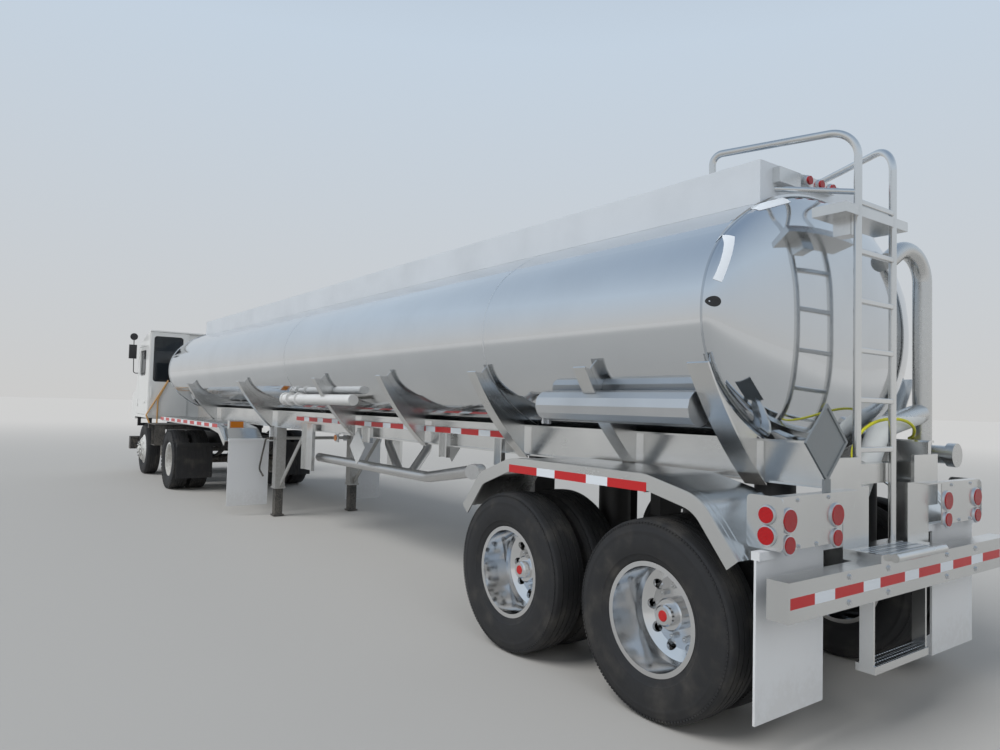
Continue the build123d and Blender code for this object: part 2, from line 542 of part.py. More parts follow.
# Long tube on each lower flank with flanges and a valve at its front. Columns: rear, front, radius
LONG_TUBE = ((LONG_TUBE_REAR, 5730, LONG_TUBE_RADIUS), (5730, 5760, 80), (5760, 6010, 44), (6010, 6040, 80),
             (6040, 6180, 62), (6180, LONG_TUBE_FRONT - 35, 80))
with BuildPart() as product_piping:
    pipe([(at(6200), PRODUCT_Y, PRODUCT_Z), (at(3490), PRODUCT_Y, PRODUCT_Z), tuple(OUTLET_KNEE),
          tuple(OUTLET_END)], PRODUCT_RADIUS, [600, 110])
    for top, foot in DROPS:
        pipe([(at(top), DROP_Y, TANK_AXIS_Z - TANK_HALF_HEIGHT + 5), (at(top), DROP_Y, DROP_KNEE),
              (at(foot), PRODUCT_Y, PRODUCT_Z)], DROP_RADIUS, [110])
    with BuildSketch(Plane(origin=OUTLET_END, z_dir=OUTLET_WAY)):
        Circle(COUPLING_RADIUS)
    extrude(amount=COUPLING_LENGTH)
    for side in (-1, 1):
        for rear, front, radius in LONG_TUBE:
            with BuildSketch(cross_plane(rear)):
                with Locations((side * LONG_TUBE_Y, LONG_TUBE_Z)):
                    Circle(radius)
            extrude(amount=front - rear)
    with BuildSketch(cross_plane(TANK_REAR, TANK_AXIS_Z)):
        oval(SEAT)
    extrude(amount=TANK_FRONT - TANK_REAR, mode=Mode.SUBTRACT)
write(product_piping, "product_piping")

# Hose tubes lying along the tank's lower flanks, the left one with a door at its front
TUBE_WALL = 5.0
TUBE_FRONT, TUBE_REAR = 1140.0, -130.0
DOOR_PIN, KNUCKLE_RADIUS = 6.0, 12.0
KNUCKLE_HALF, KNUCKLE_END = 10.0, 34.0
HINGE_PIN_X, HINGE_PIN_Z = TUBE_FRONT + 8, TUBE_Z - TUBE_RADIUS - 14
with BuildPart() as hose_tubes:
    for side in (-1, 1):
        with BuildSketch(cross_plane(TUBE_REAR)):
            with Locations((side * TUBE_Y, TUBE_Z)):
                RegularPolygon(TUBE_RADIUS, 12)
                RegularPolygon(TUBE_RADIUS - TUBE_WALL, 12, mode=Mode.SUBTRACT)
        extrude(amount=TUBE_FRONT - TUBE_REAR)
        with BuildSketch(cross_plane(TUBE_REAR)):
            with Locations((side * TUBE_Y, TUBE_Z)):
                RegularPolygon(TUBE_RADIUS - 1, 12)
        extrude(amount=TUBE_WALL)
    block(TUBE_FRONT - 30, TUBE_FRONT, TUBE_Y - KNUCKLE_HALF, TUBE_Y + KNUCKLE_HALF,
          HINGE_PIN_Z - KNUCKLE_RADIUS, TUBE_Z - TUBE_RADIUS + TUBE_WALL - 1)
    block(TUBE_FRONT - 1, HINGE_PIN_X, TUBE_Y - KNUCKLE_HALF, TUBE_Y + KNUCKLE_HALF,
          HINGE_PIN_Z - KNUCKLE_RADIUS, HINGE_PIN_Z + KNUCKLE_RADIUS)
    for radius, half in ((KNUCKLE_RADIUS, KNUCKLE_HALF), (DOOR_PIN, KNUCKLE_END)):
        with BuildSketch(side_plane(TUBE_Y + half)):
            with Locations((at(HINGE_PIN_X), HINGE_PIN_Z)):
                Circle(radius)
        extrude(amount=2 * half)
write(hose_tubes, "hose_tubes")

# The tube's door, hung from the pin at its foot
DOOR_THICK = 14.0
with BuildPart() as tube_door:
    with BuildSketch(cross_plane(TUBE_FRONT + SHAFT_GAP)):
        with Locations((TUBE_Y, TUBE_Z)):
            Circle(TUBE_RADIUS - 6)
    extrude(amount=DOOR_THICK)
    for side in (-1, 1):
        near, far = TUBE_Y + side * (KNUCKLE_HALF + 2), TUBE_Y + side * KNUCKLE_END
        block(TUBE_FRONT + SHAFT_GAP, TUBE_FRONT + SHAFT_GAP + DOOR_THICK, near, far, HINGE_PIN_Z,
              TUBE_Z - TUBE_RADIUS + 26)
        with BuildSketch(side_plane(max(near, far))):
            with Locations((at(HINGE_PIN_X), HINGE_PIN_Z)):
                Circle(KNUCKLE_RADIUS)
        extrude(amount=abs(far - near))
    with BuildSketch(side_plane(TUBE_Y + KNUCKLE_END + 1)):
        with Locations((at(HINGE_PIN_X), HINGE_PIN_Z)):
            Circle(DOOR_PIN + SHAFT_GAP)
    extrude(amount=2 * KNUCKLE_END + 2, mode=Mode.SUBTRACT)
write(tube_door, "tube_door")

# Trailer axles: beams with spindles
BEAM_RADIUS = 64.0
WHEEL_Z = TYRE_RADIUS
SPINDLE_END = HUB_PLANE_Y + 60
with BuildPart() as trailer_axles:
    for station in (0.0, AXLE_SPACING):
        for radius, reach in ((BEAM_RADIUS, 600.0), (SPINDLE_RADIUS, SPINDLE_END)):
            with BuildSketch(side_plane(reach)):
                with Locations((at(station), WHEEL_Z)):
                    Circle(radius)
            extrude(amount=2 * reach)
write(trailer_axles, "trailer_axles")

# Suspension: hangers, trailing arms and air springs
ARM_Y = 450.0
with BuildPart() as suspension:
    for station in (0.0, AXLE_SPACING):
        for side in (-1, 1):
            y = side * ARM_Y
            block(station + 430, station + 560, y - 60, y + 60, 620, 960)
            block(station + 455, station + 535, y - 50, side * RAIL_OUTER, 960, RAIL_BOTTOM - SEAT)
            with BuildSketch(side_plane(y + 45)):
                with BuildLine():
                    Polyline((at(station + 520), 690), (at(station + 120), 640), (at(station - 300), 600),
                             (at(station - 300), 545), (at(station + 120), 560), (at(station + 520), 620), close=True)
                make_face()
                with Locations((at(station), WHEEL_Z)):
                    Circle(BEAM_RADIUS + SEAT, mode=Mode.SUBTRACT)
            extrude(amount=90)
            with BuildSketch(Plane.XY.offset(600)):
                with Locations((at(station - 250), y)):
                    Circle(110)
            extrude(amount=RAIL_BOTTOM - SEAT - 600)
write(suspension, "suspension")

# Placard holders: diamond frames at the rear and on both sides
with BuildPart() as placard_holders:
    with BuildSketch(cross_plane(-670)):
        with Locations(Location((670, 1482), 45)):
            Rectangle(275, 275)
            Rectangle(245, 245, mode=Mode.SUBTRACT)
    extrude(amount=-12)
    with BuildSketch(cross_plane(-672)):
        with Locations(Location((670, 1482), 45)):
            Rectangle(260, 260)
    extrude(amount=-4)
    block(-682, -670, 640, 700, LAMP_BOX_Z1 + SEAT, 1300)
    for side in (-1, 1):
        with BuildSketch(side_plane(side * (RAIL_OUTER + 20))):
            with Locations(Location((at(4810), 1130), 45)):
                Rectangle(275, 275)
        extrude(amount=-side * 8)
        block(4780, 4840, side * (RAIL_OUTER + SEAT), side * (RAIL_OUTER + 20), RAIL_BOTTOM, 1340)
write(placard_holders, "placard_holders")

# Rim half-section from the mounting plane outwards. Columns: distance along the axle, radius
RIM_SECTION = ((0, 110), (15, 110), (15, 200), (48, 258), (75, 272), (270, 272), (270, RIM_RADIUS),
               (260, RIM_RADIUS), (260, BEAD_SEAT), (72, BEAD_SEAT), (72, RIM_RADIUS), (60, RIM_RADIUS),
               (60, 280), (30, 245), (0, 215))
RIM_CENTRE = 165.0
# Hub and drum section, same columns
DUAL_HUB = ((-190, HUB_BORE), (-190, 205), (-14, 205), (-14, 150), (14, 150), (14, 88), (115, 88), (122, 80),
            (122, 60), (160, 58), (168, 48), (168, 0), (66, 0), (66, HUB_BORE))
STEER_SPINDLE = 35.0
STEER_BORE = STEER_SPINDLE + SHAFT_GAP
STEER_HUB = ((-190, STEER_BORE), (-190, 205), (-2, 205), (-2, 150), (26, 150), (26, 70), (52, 66), (60, 56),
             (60, 0), (-20, 0), (-20, STEER_BORE))


def tyre(station, side, centre_y):
    """A tyre as a ring with crowned tread, shoulders and bulged sidewalls."""
    half = TYRE_WIDTH / 2
    with BuildPart() as ring:
        with BuildSketch(cross_plane(station, WHEEL_Z)):
            with BuildLine():
                Polyline((-93, BEAD_SEAT + SEAT), (93, BEAD_SEAT + SEAT), (93, RIM_RADIUS + 6))
                ThreePointArc((93, RIM_RADIUS + 6), (half, 400), (half - 14, 492))
                Polyline((half - 14, 492), (half - 32, TYRE_RADIUS - 5), (0, TYRE_RADIUS),
                         (32 - half, TYRE_RADIUS - 5), (14 - half, 492))
                ThreePointArc((14 - half, 492), (-half, 400), (-93, RIM_RADIUS + 6))
                Line((-93, RIM_RADIUS + 6), (-93, BEAD_SEAT + SEAT))
            make_face()
        revolve(axis=Axis((at(station), 0, WHEEL_Z), (0, 1, 0)))
    return ring.part.moved(Location((0, side * centre_y, 0)))


def dual_wheel(name, station, side):
    """Twin wheels on one hub: a tyre node and a node of rims, hub and drum."""
    with BuildPart() as tyres:
        add(tyre(station, side, OUTER_TYRE_Y))
        add(tyre(station, side, OUTER_TYRE_Y - DUAL_SPACING))
    write(tyres, f"{name}_tyres")
    with BuildPart() as rims:
        for way in (-1, 1):
            with BuildSketch(cross_plane(station, WHEEL_Z)):
                with BuildLine():
                    Polyline(*[(side * (HUB_PLANE_Y + way * u), r) for u, r in RIM_SECTION], close=True)
                make_face()
            revolve(axis=axis_of(station))
        with BuildSketch(side_plane(side * HUB_PLANE_Y)):
            with Locations((at(station), WHEEL_Z)):
                with PolarLocations(HAND_HOLE_PITCH, HAND_HOLES):
                    Circle(HAND_HOLE_RADIUS)
        extrude(amount=80, both=True, mode=Mode.SUBTRACT)
        with BuildSketch(cross_plane(station, WHEEL_Z)):
            with BuildLine():
                Polyline(*[(side * (HUB_PLANE_Y + u), r) for u, r in DUAL_HUB], close=True)
            make_face()
        revolve(axis=axis_of(station))
    write(rims, f"{name}_rims")


def axis_of(station):
    """The axle line at a station."""
    return Axis((at(station), 0, WHEEL_Z), (0, 1, 0))


STEER_PLANE_Y = STEER_TYRE_Y + RIM_CENTRE


def steer_wheel(name, side):
    """A single steered wheel: a tyre node and a node of rim, hub and drum."""
    with BuildPart() as single:
        add(tyre(STEER_STATION, side, STEER_TYRE_Y))
    write(single, f"{name}_tyre")
    with BuildPart() as rim:
        with BuildSketch(cross_plane(STEER_STATION, WHEEL_Z)):
            with BuildLine():
                Polyline(*[(side * (STEER_PLANE_Y - u), r) for u, r in RIM_SECTION], close=True)
            make_face()
        revolve(axis=axis_of(STEER_STATION))
        with BuildSketch(side_plane(side * STEER_PLANE_Y)):
            with Locations((at(STEER_STATION), WHEEL_Z)):
                with PolarLocations(HAND_HOLE_PITCH, HAND_HOLES):
                    Circle(HAND_HOLE_RADIUS)
        extrude(amount=80, both=True, mode=Mode.SUBTRACT)
        with BuildSketch(cross_plane(STEER_STATION, WHEEL_Z)):
            with BuildLine():
                Polyline(*[(side * (STEER_PLANE_Y + u), r) for u, r in STEER_HUB], close=True)
            make_face()
        revolve(axis=axis_of(STEER_STATION))
    write(rim, f"{name}_rim")


WHEEL_SETS = (("trailer_wheels_rear_left", 0.0, 1), ("trailer_wheels_rear_right", 0.0, -1),
              ("trailer_wheels_front_left", AXLE_SPACING, 1), ("trailer_wheels_front_right", AXLE_SPACING, -1),
              ("drive_wheels_left", DRIVE_AXLE, 1), ("drive_wheels_right", DRIVE_AXLE, -1))
for name, station, side in WHEEL_SETS:
    dual_wheel(name, station, side)
for name, side in (("steer_wheel_left", 1), ("steer_wheel_right", -1)):
    steer_wheel(name, side)

# Steering knuckles: yoke arms above and below the axle's boss, pin, web and spindle
BOSS_RADIUS, BOSS_HALF = 42.0, 60.0
PIN = 28.0
YOKE_GAP = 2.0
for name, side in (("knuckle_left", 1), ("knuckle_right", -1)):
    with BuildPart() as knuckle:
        x = at(STEER_STATION)
        y = side * STEER_AXIS_Y
        with Locations((x, y, WHEEL_Z)):
            Cylinder(PIN, 2 * BOSS_HALF + 90)
        for way in (-1, 1):
            z = WHEEL_Z + way * (BOSS_HALF + YOKE_GAP + 22)
            with Locations((x, y, z)):
                Cylinder(44, 44)
            block(STEER_STATION - 36, STEER_STATION + 36, y, y + side * 80, z - 22, z + 22)
        block(STEER_STATION - 45, STEER_STATION + 45, y + side * 50, y + side * 84, WHEEL_Z - 106, WHEEL_Z + 106)
        with BuildSketch(side_plane(y + side * 80)):
            with Locations((x, WHEEL_Z)):
                Circle(STEER_SPINDLE)
        extrude(amount=-side * (STEER_PLANE_Y - 30 - STEER_AXIS_Y - 80))
    write(knuckle, name)

SPRING_END = FRAME_TOP - FRAME_DEPTH - SEAT
# Tractor axles: steer beam with bosses, drive housing with leaf springs
with BuildPart() as tractor_axles:
    for side in (-1, 1):
        with Locations((at(STEER_STATION), side * STEER_AXIS_Y, WHEEL_Z)):
            Cylinder(BOSS_RADIUS, 2 * BOSS_HALF)
        block(STEER_STATION - 35, STEER_STATION + 35, side * 700, side * (STEER_AXIS_Y - 20),
              WHEEL_Z - 45, WHEEL_Z + 45)
        block(STEER_STATION - 45, STEER_STATION + 45, 0, side * 705, WHEEL_Z - 70, WHEEL_Z + 30)
        with Locations((at(STEER_STATION), side * STEER_AXIS_Y, WHEEL_Z)):
            Cylinder(PIN + SHAFT_GAP, 2 * BOSS_HALF + 4, mode=Mode.SUBTRACT)
        for centre, low in ((STEER_STATION, WHEEL_Z + 30), (DRIVE_AXLE, WHEEL_Z + 70)):
            with BuildSketch(side_plane(side * FRAME_Y + 38)):
                with BuildLine():
                    ThreePointArc((at(centre - 620), SPRING_END), (at(centre), low), (at(centre + 620), SPRING_END))
                    Line((at(centre + 620), SPRING_END), (at(centre + 620), SPRING_END - 26))
                    ThreePointArc((at(centre + 620), SPRING_END - 26), (at(centre), low - 26),
                                  (at(centre - 620), SPRING_END - 26))
                    Line((at(centre - 620), SPRING_END - 26), (at(centre - 620), SPRING_END))
                make_face()
            extrude(amount=76)
    for radius, reach in ((80.0, 600.0), (SPINDLE_RADIUS, SPINDLE_END)):
        with BuildSketch(side_plane(reach)):
            with Locations((at(DRIVE_AXLE), WHEEL_Z)):
                Circle(radius)
        extrude(amount=2 * reach)
    with Locations((at(DRIVE_AXLE), 0, WHEEL_Z)):
        Sphere(190)
write(tractor_axles, "tractor_axles")

# Tractor frame: two channels, crossmembers, rear ramps and the front bumper
with BuildPart() as tractor_frame:
    for side in (-1, 1):
        y = side * FRAME_Y
        block(FRAME_TAIL, FRONT_END - 160, y - 40, y + 40, FRAME_TOP - FRAME_DEPTH, FRAME_TOP)
        block(FRAME_TAIL - 1, FRONT_END - 150, y - 31 - side * 11, y + 31 - side * 11,
              FRAME_TOP - FRAME_DEPTH + 10, FRAME_TOP - 10, mode=Mode.SUBTRACT)
    for station in (FRAME_TAIL, DRIVE_AXLE - 460, DRIVE_AXLE + 1240, CAB_BACK + 30, FRONT_END - 300):
        block(station, station + 60, -FRAME_Y - 22, FRAME_Y + 22, FRAME_TOP - FRAME_DEPTH + 20, FRAME_TOP - 20)
    block(FRONT_END - 160, FRONT_END, -HALF_WIDTH, HALF_WIDTH, 480, 752)
    for side in (-1, 1):
        block(FRONT_END - 250, FRONT_END - 155, side * FRAME_Y - 36, side * FRAME_Y + 36, 560, 770)
        block(FRONT_END - 60, FRONT_END, side * FRAME_Y - 30, side * FRAME_Y + 30, 745, NOSE_LOW - SEAT)
    for station in (CAB_BEARER_REAR, CAB_BEARER_FRONT):
        block(station, station + 60, 30 - HALF_WIDTH, CAB_LEFT - 50, FRAME_TOP, FRAME_TOP + 60)
        for y0, y1, top in ((30 - HALF_WIDTH, 70 - HALF_WIDTH, NOSE_LOW), (CAB_RIGHT + 10, CAB_RIGHT + 70, CAB_FLOOR),
                            (CAB_LEFT - 110, CAB_LEFT - 50, CAB_FLOOR)):
            block(station, station + 60, y0, y1, FRAME_TOP + 55, top - SEAT)
write(tractor_frame, "tractor_frame")

# Fifth wheel: plate with a throat open to the rear, on a base across the frame
THROAT = KINGPIN_NECK + 2.5
with BuildPart() as fifth_wheel:
    with BuildSketch(Plane.XY.offset(COUPLER_Z - 46)):
        with BuildLine():
            Polyline((at(KINGPIN - 520), 190), (at(KINGPIN - 330), 440), (at(KINGPIN + 330), 440),
                     (at(KINGPIN + 330), -440), (at(KINGPIN - 330), -440), (at(KINGPIN - 520), -190),
                     (at(KINGPIN - 60), -THROAT), (at(KINGPIN - 60), THROAT), close=True)
        make_face()
        with BuildLine():
            Polyline((at(KINGPIN - 61), THROAT), (at(KINGPIN), THROAT), (at(KINGPIN), -THROAT),
                     (at(KINGPIN - 61), -THROAT), close=True)
        make_face(mode=Mode.SUBTRACT)
        with Locations((at(KINGPIN), 0)):
            Circle(THROAT, mode=Mode.SUBTRACT)
    extrude(amount=46)
    for side in (-1, 1):
        block(KINGPIN - 200, KINGPIN + 200, side * 300, side * 420, FRAME_TOP + SEAT, COUPLER_Z - 46)
write(fifth_wheel, "fifth_wheel")

# Cab: hollow shell with openings for its doors and windows. Columns: station, height
CAB_SILL, CAB_BROW, BROW_BACK = 1750.0, 2750.0, 190.0
CAB_PROFILE = ((CAB_BACK, CAB_FLOOR), (CAB_FRONT, CAB_FLOOR), (CAB_FRONT, CAB_SILL),
               (CAB_FRONT - BROW_BACK, CAB_BROW), (CAB_BACK, CAB_ROOF))
CAB_MID_Y = (CAB_LEFT + CAB_RIGHT) / 2
SCREEN_SIZE = (CAB_LEFT - CAB_RIGHT - 160, 760.0)
SCREEN_PLANE = Plane(origin=(at(CAB_FRONT - BROW_BACK / 2), CAB_MID_Y, (CAB_SILL + CAB_BROW) / 2 + 20),
                     x_dir=(0, 1, 0), z_dir=(CAB_BROW - CAB_SILL, 0, BROW_BACK))
SIDE_WINDOW_X, SIDE_WINDOW_Z, SIDE_WINDOW_SIZE = CAB_BACK + 645, 2335.0, (620.0, 530.0)
BACK_WINDOW_Y, BACK_WINDOW_Z, BACK_WINDOW_SIZE = 120.0, 2400.0, (580.0, 900.0)
DOOR_X0, DOOR_X1, DOOR_Z0, DOOR_Z1 = CAB_BACK + 230, CAB_BACK + 1050, CAB_FLOOR + 60, 2680.0
REAR_OPENING = (CAB_LEFT - 680, CAB_LEFT - 70, CAB_FLOOR + 90, CAB_ROOF - 85)
WINDOW_RADIUS = 60.0
DOOR_RAIL_Z = CAB_ROOF - 28
PANE = 6.0
with BuildPart() as cab_shell:
    with BuildSketch(side_plane(CAB_LEFT)):
        with BuildLine():
            Polyline(*[(at(s), z) for s, z in CAB_PROFILE], close=True)
        make_face()
    extrude(amount=CAB_LEFT - CAB_RIGHT)
    with BuildSketch(side_plane(CAB_LEFT - CAB_WALL)):
        with BuildLine():
            Polyline(*[(at(s), z) for s, z in CAB_PROFILE], close=True)
        make_face()
        offset(amount=-CAB_WALL, kind=Kind.INTERSECTION)
    extrude(amount=CAB_LEFT - CAB_RIGHT - 2 * CAB_WALL, mode=Mode.SUBTRACT)
    with BuildSketch(SCREEN_PLANE):
        RectangleRounded(*SCREEN_SIZE, WINDOW_RADIUS)
    extrude(amount=-1.6 * CAB_WALL, mode=Mode.SUBTRACT)
    with BuildSketch(side_plane(CAB_RIGHT + CAB_WALL)):
        with Locations((at(SIDE_WINDOW_X), SIDE_WINDOW_Z)):
            RectangleRounded(*SIDE_WINDOW_SIZE, WINDOW_RADIUS)
    extrude(amount=CAB_WALL, mode=Mode.SUBTRACT)
    with BuildSketch(cross_plane(CAB_BACK)):
        with Locations((BACK_WINDOW_Y, BACK_WINDOW_Z)):
            RectangleRounded(*BACK_WINDOW_SIZE, WINDOW_RADIUS)
        y0, y1, z0, z1 = REAR_OPENING
        with Locations(((y0 + y1) / 2, (z0 + z1) / 2)):
            RectangleRounded(y1 - y0, z1 - z0, WINDOW_RADIUS)
    extrude(amount=CAB_WALL, mode=Mode.SUBTRACT)
    block(DOOR_X0, DOOR_X1, CAB_LEFT - CAB_WALL, CAB_LEFT, DOOR_Z0, DOOR_Z1, mode=Mode.SUBTRACT)
    for z in (CAB_FLOOR + 6, DOOR_RAIL_Z):
        block(CAB_BACK - 55, CAB_BACK, CAB_RIGHT, CAB_LEFT, z, z + 26)
    for z in (1500, 2500):
        for way in (-1, 1):
            with Locations((at(DOOR_X1 - 3), CAB_LEFT + 8, z + way * 51)):
                Cylinder(8, 40)
            block(DOOR_X1 - 3, DOOR_X1 + 35, CAB_LEFT, CAB_LEFT + 8, z + way * 31, z + way * 71)
write(cab_shell, "cab_shell")

with BuildPart() as cab_glass:
    with BuildSketch(SCREEN_PLANE.offset(-CAB_WALL / 2)):
        RectangleRounded(SCREEN_SIZE[0] - 2 * SEAT, SCREEN_SIZE[1] - 2 * SEAT, WINDOW_RADIUS)
    extrude(amount=PANE)
    with BuildSketch(side_plane(CAB_RIGHT + CAB_WALL / 2)):
        with Locations((at(SIDE_WINDOW_X), SIDE_WINDOW_Z)):
            RectangleRounded(SIDE_WINDOW_SIZE[0] - 2 * SEAT, SIDE_WINDOW_SIZE[1] - 2 * SEAT, WINDOW_RADIUS)
    extrude(amount=PANE)
    with BuildSketch(cross_plane(CAB_BACK + CAB_WALL / 2)):
        with Locations((BACK_WINDOW_Y, BACK_WINDOW_Z)):
            RectangleRounded(BACK_WINDOW_SIZE[0] - 2 * SEAT, BACK_WINDOW_SIZE[1] - 2 * SEAT, WINDOW_RADIUS)
    extrude(amount=PANE)
write(cab_glass, "cab_glass")

# Side door, as thick as the wall, hinged at its front edge
with BuildPart() as cab_door:
    block(DOOR_X0 + RUN_GAP, DOOR_X1 - RUN_GAP, CAB_LEFT - CAB_WALL, CAB_LEFT, DOOR_Z0 + RUN_GAP, DOOR_Z1 - RUN_GAP)
    with BuildSketch(side_plane(CAB_LEFT)):
        with Locations((at(SIDE_WINDOW_X), SIDE_WINDOW_Z)):
            RectangleRounded(*SIDE_WINDOW_SIZE, WINDOW_RADIUS)
    extrude(amount=CAB_WALL, mode=Mode.SUBTRACT)
    for z in (1500, 2500):
        with Locations((at(DOOR_X1 - 3), CAB_LEFT + 8, z)):
            Cylinder(8, 61)
        block(DOOR_X1 - 45, DOOR_X1 - 3, CAB_LEFT, CAB_LEFT + 8, z - 30.5, z + 30.5)
    block(DOOR_X0 + 40, DOOR_X0 + 150, CAB_LEFT, CAB_LEFT + 18, 1500, 1530)
write(cab_door, "cab_door")

with BuildPart() as door_glass:
    with BuildSketch(side_plane(CAB_LEFT - CAB_WALL / 2)):
        with Locations((at(SIDE_WINDOW_X), SIDE_WINDOW_Z)):
            RectangleRounded(SIDE_WINDOW_SIZE[0] - 2 * SEAT, SIDE_WINDOW_SIZE[1] - 2 * SEAT, WINDOW_RADIUS)
    extrude(amount=PANE)
write(door_glass, "door_glass")

# Rear door: hangs on a rail across the back of the cab and slides to the right
REAR_DOOR = (CAB_LEFT - 740, CAB_LEFT - 10, CAB_FLOOR + 40, DOOR_RAIL_Z - 7)
REAR_DOOR_THICK = 40.0
REAR_WINDOW_Y, REAR_WINDOW_Z, REAR_WINDOW_SIZE = 850.0, 2405.0, (560.0, 930.0)
with BuildPart() as rear_door:
    y0, y1, z0, z1 = REAR_DOOR
    door_back = CAB_BACK - RUN_GAP - REAR_DOOR_THICK
    block(door_back, door_back + REAR_DOOR_THICK, y0, y1, z0, z1)
    with BuildSketch(cross_plane(door_back)):
        with Locations((REAR_WINDOW_Y, REAR_WINDOW_Z)):
            RectangleRounded(*REAR_WINDOW_SIZE, WINDOW_RADIUS)
    extrude(amount=REAR_DOOR_THICK, mode=Mode.SUBTRACT)
    for y in (y0 + 100, y1 - 100):
        block(door_back + 5, door_back + 35, y - 40, y + 40, z1, DOOR_RAIL_Z - SEAT)
    block(door_back - 20, door_back, y1 - 60, y1 - 30, 1600, 1800)
write(rear_door, "rear_door")

with BuildPart() as rear_door_glass:
    with BuildSketch(cross_plane(door_back + REAR_DOOR_THICK / 2)):
        with Locations((REAR_WINDOW_Y, REAR_WINDOW_Z)):
            RectangleRounded(REAR_WINDOW_SIZE[0] - 2 * SEAT, REAR_WINDOW_SIZE[1] - 2 * SEAT, WINDOW_RADIUS)
    extrude(amount=PANE)
write(rear_door_glass, "rear_door_glass")

# Hood: a shell open below, across the front and along the right of the cab
HOOD_WALL = 25.0
HOOD_Y = HALF_WIDTH - 20
HOOD_REAR = CAB_FRONT + RUN_GAP
HOOD_RIGHT_TOP = 1650.0
NOSE_PROFILE = ((HOOD_REAR, NOSE_LOW), (FRONT_END, NOSE_LOW), (FRONT_END, 1500), (FRONT_END - 70, 1700),
                (HOOD_REAR + 144, CAB_SILL), (HOOD_REAR, CAB_SILL))
HEADLAMP_Y, HEADLAMP_Z, HEADLAMP_SIZE = 980.0, 1310.0, (240.0, 160.0)
with BuildPart() as nose:
    with BuildSketch(side_plane(HOOD_Y)):
        with BuildLine():
            Polyline(*[(at(s), z) for s, z in NOSE_PROFILE], close=True)
        make_face()
    extrude(amount=2 * HOOD_Y)
    block(CAB_BACK + 40, HOOD_REAR + 1, -HOOD_Y, CAB_RIGHT - RUN_GAP, NOSE_LOW, HOOD_RIGHT_TOP)
    with BuildSketch(side_plane(HOOD_Y - HOOD_WALL)):
        with BuildLine():
            Polyline(*[(at(s), z) for s, z in NOSE_PROFILE], close=True)
        make_face()
        offset(amount=-HOOD_WALL, kind=Kind.INTERSECTION)
    extrude(amount=2 * (HOOD_Y - HOOD_WALL), mode=Mode.SUBTRACT)
    block(HOOD_REAR + HOOD_WALL, FRONT_END - HOOD_WALL, HOOD_WALL - HOOD_Y, HOOD_Y - HOOD_WALL,
          NOSE_LOW - 5, NOSE_LOW + 60, mode=Mode.SUBTRACT)
    block(CAB_BACK + 40 + HOOD_WALL, HOOD_REAR + HOOD_WALL + 1, HOOD_WALL - HOOD_Y,
          CAB_RIGHT - RUN_GAP - HOOD_WALL, NOSE_LOW - 5, HOOD_RIGHT_TOP - HOOD_WALL, mode=Mode.SUBTRACT)
    for row in range(7):
        block(FRONT_END - 60, FRONT_END + 5, -380, 380, 1190 + row * 42, 1212 + row * 42, mode=Mode.SUBTRACT)
    with BuildSketch(cross_plane(FRONT_END + 5)):
        with Locations((-HEADLAMP_Y, HEADLAMP_Z), (HEADLAMP_Y, HEADLAMP_Z)):
            RectangleRounded(HEADLAMP_SIZE[0], HEADLAMP_SIZE[1], 30)
    extrude(amount=-60, mode=Mode.SUBTRACT)
write(nose, "nose")

# Engine as one plain block between the frame rails, and the radiator behind the grille
with BuildPart() as engine:
    block(CAB_BACK + 180, CAB_FRONT - 110, -300, 300, 640, NOSE_LOW - 12)
    for station in (CAB_BACK + 330, CAB_BACK + 1030):
        block(station, station + 80, -FRAME_Y - 20 + SEAT, FRAME_Y + 20 - SEAT, 860, 920)
    block(FRONT_END - 230, FRONT_END - 165, -450, 450, FRAME_TOP + SEAT, 1480)
write(engine, "engine")

# Boxes beside the frame: batteries and tools on the left, a fuel tank on the right
BOX_REAR, BOX_INNER = DRIVE_AXLE + 740, FRAME_Y + 90
with BuildPart() as side_boxes:
    block(BOX_REAR, BOX_REAR + 950, BOX_INNER, BOX_INNER + 480, 470, 900)
    for station in (BOX_REAR + 100, BOX_REAR + 750):
        block(station, station + 60, FRAME_Y + 40 + SEAT, BOX_INNER + 5, 780, 890)
        block(station, station + 60, -BOX_INNER - 40, -FRAME_Y - 40 - SEAT, 760, 860)
    with BuildSketch(cross_plane(BOX_REAR)):
        with Locations((-BOX_INNER - 230, 700)):
            RectangleRounded(440, 460, 120)
    extrude(amount=1100)
write(side_boxes, "side_boxes")

# Deck behind the cab, with its step and the two-legged handrail
DECK_TOP, DECK_SHEET = 1100.0, 15.0
DECK_REAR, DECK_FRONT, DECK_OUTER = CAB_BACK - 870, CAB_BACK - 60, CAB_LEFT
STEP_Z, STEP_LENGTH, STEP_WIDTH = 690.0, 310.0, 190.0
HANDRAIL_FOOT = DECK_FRONT - 60
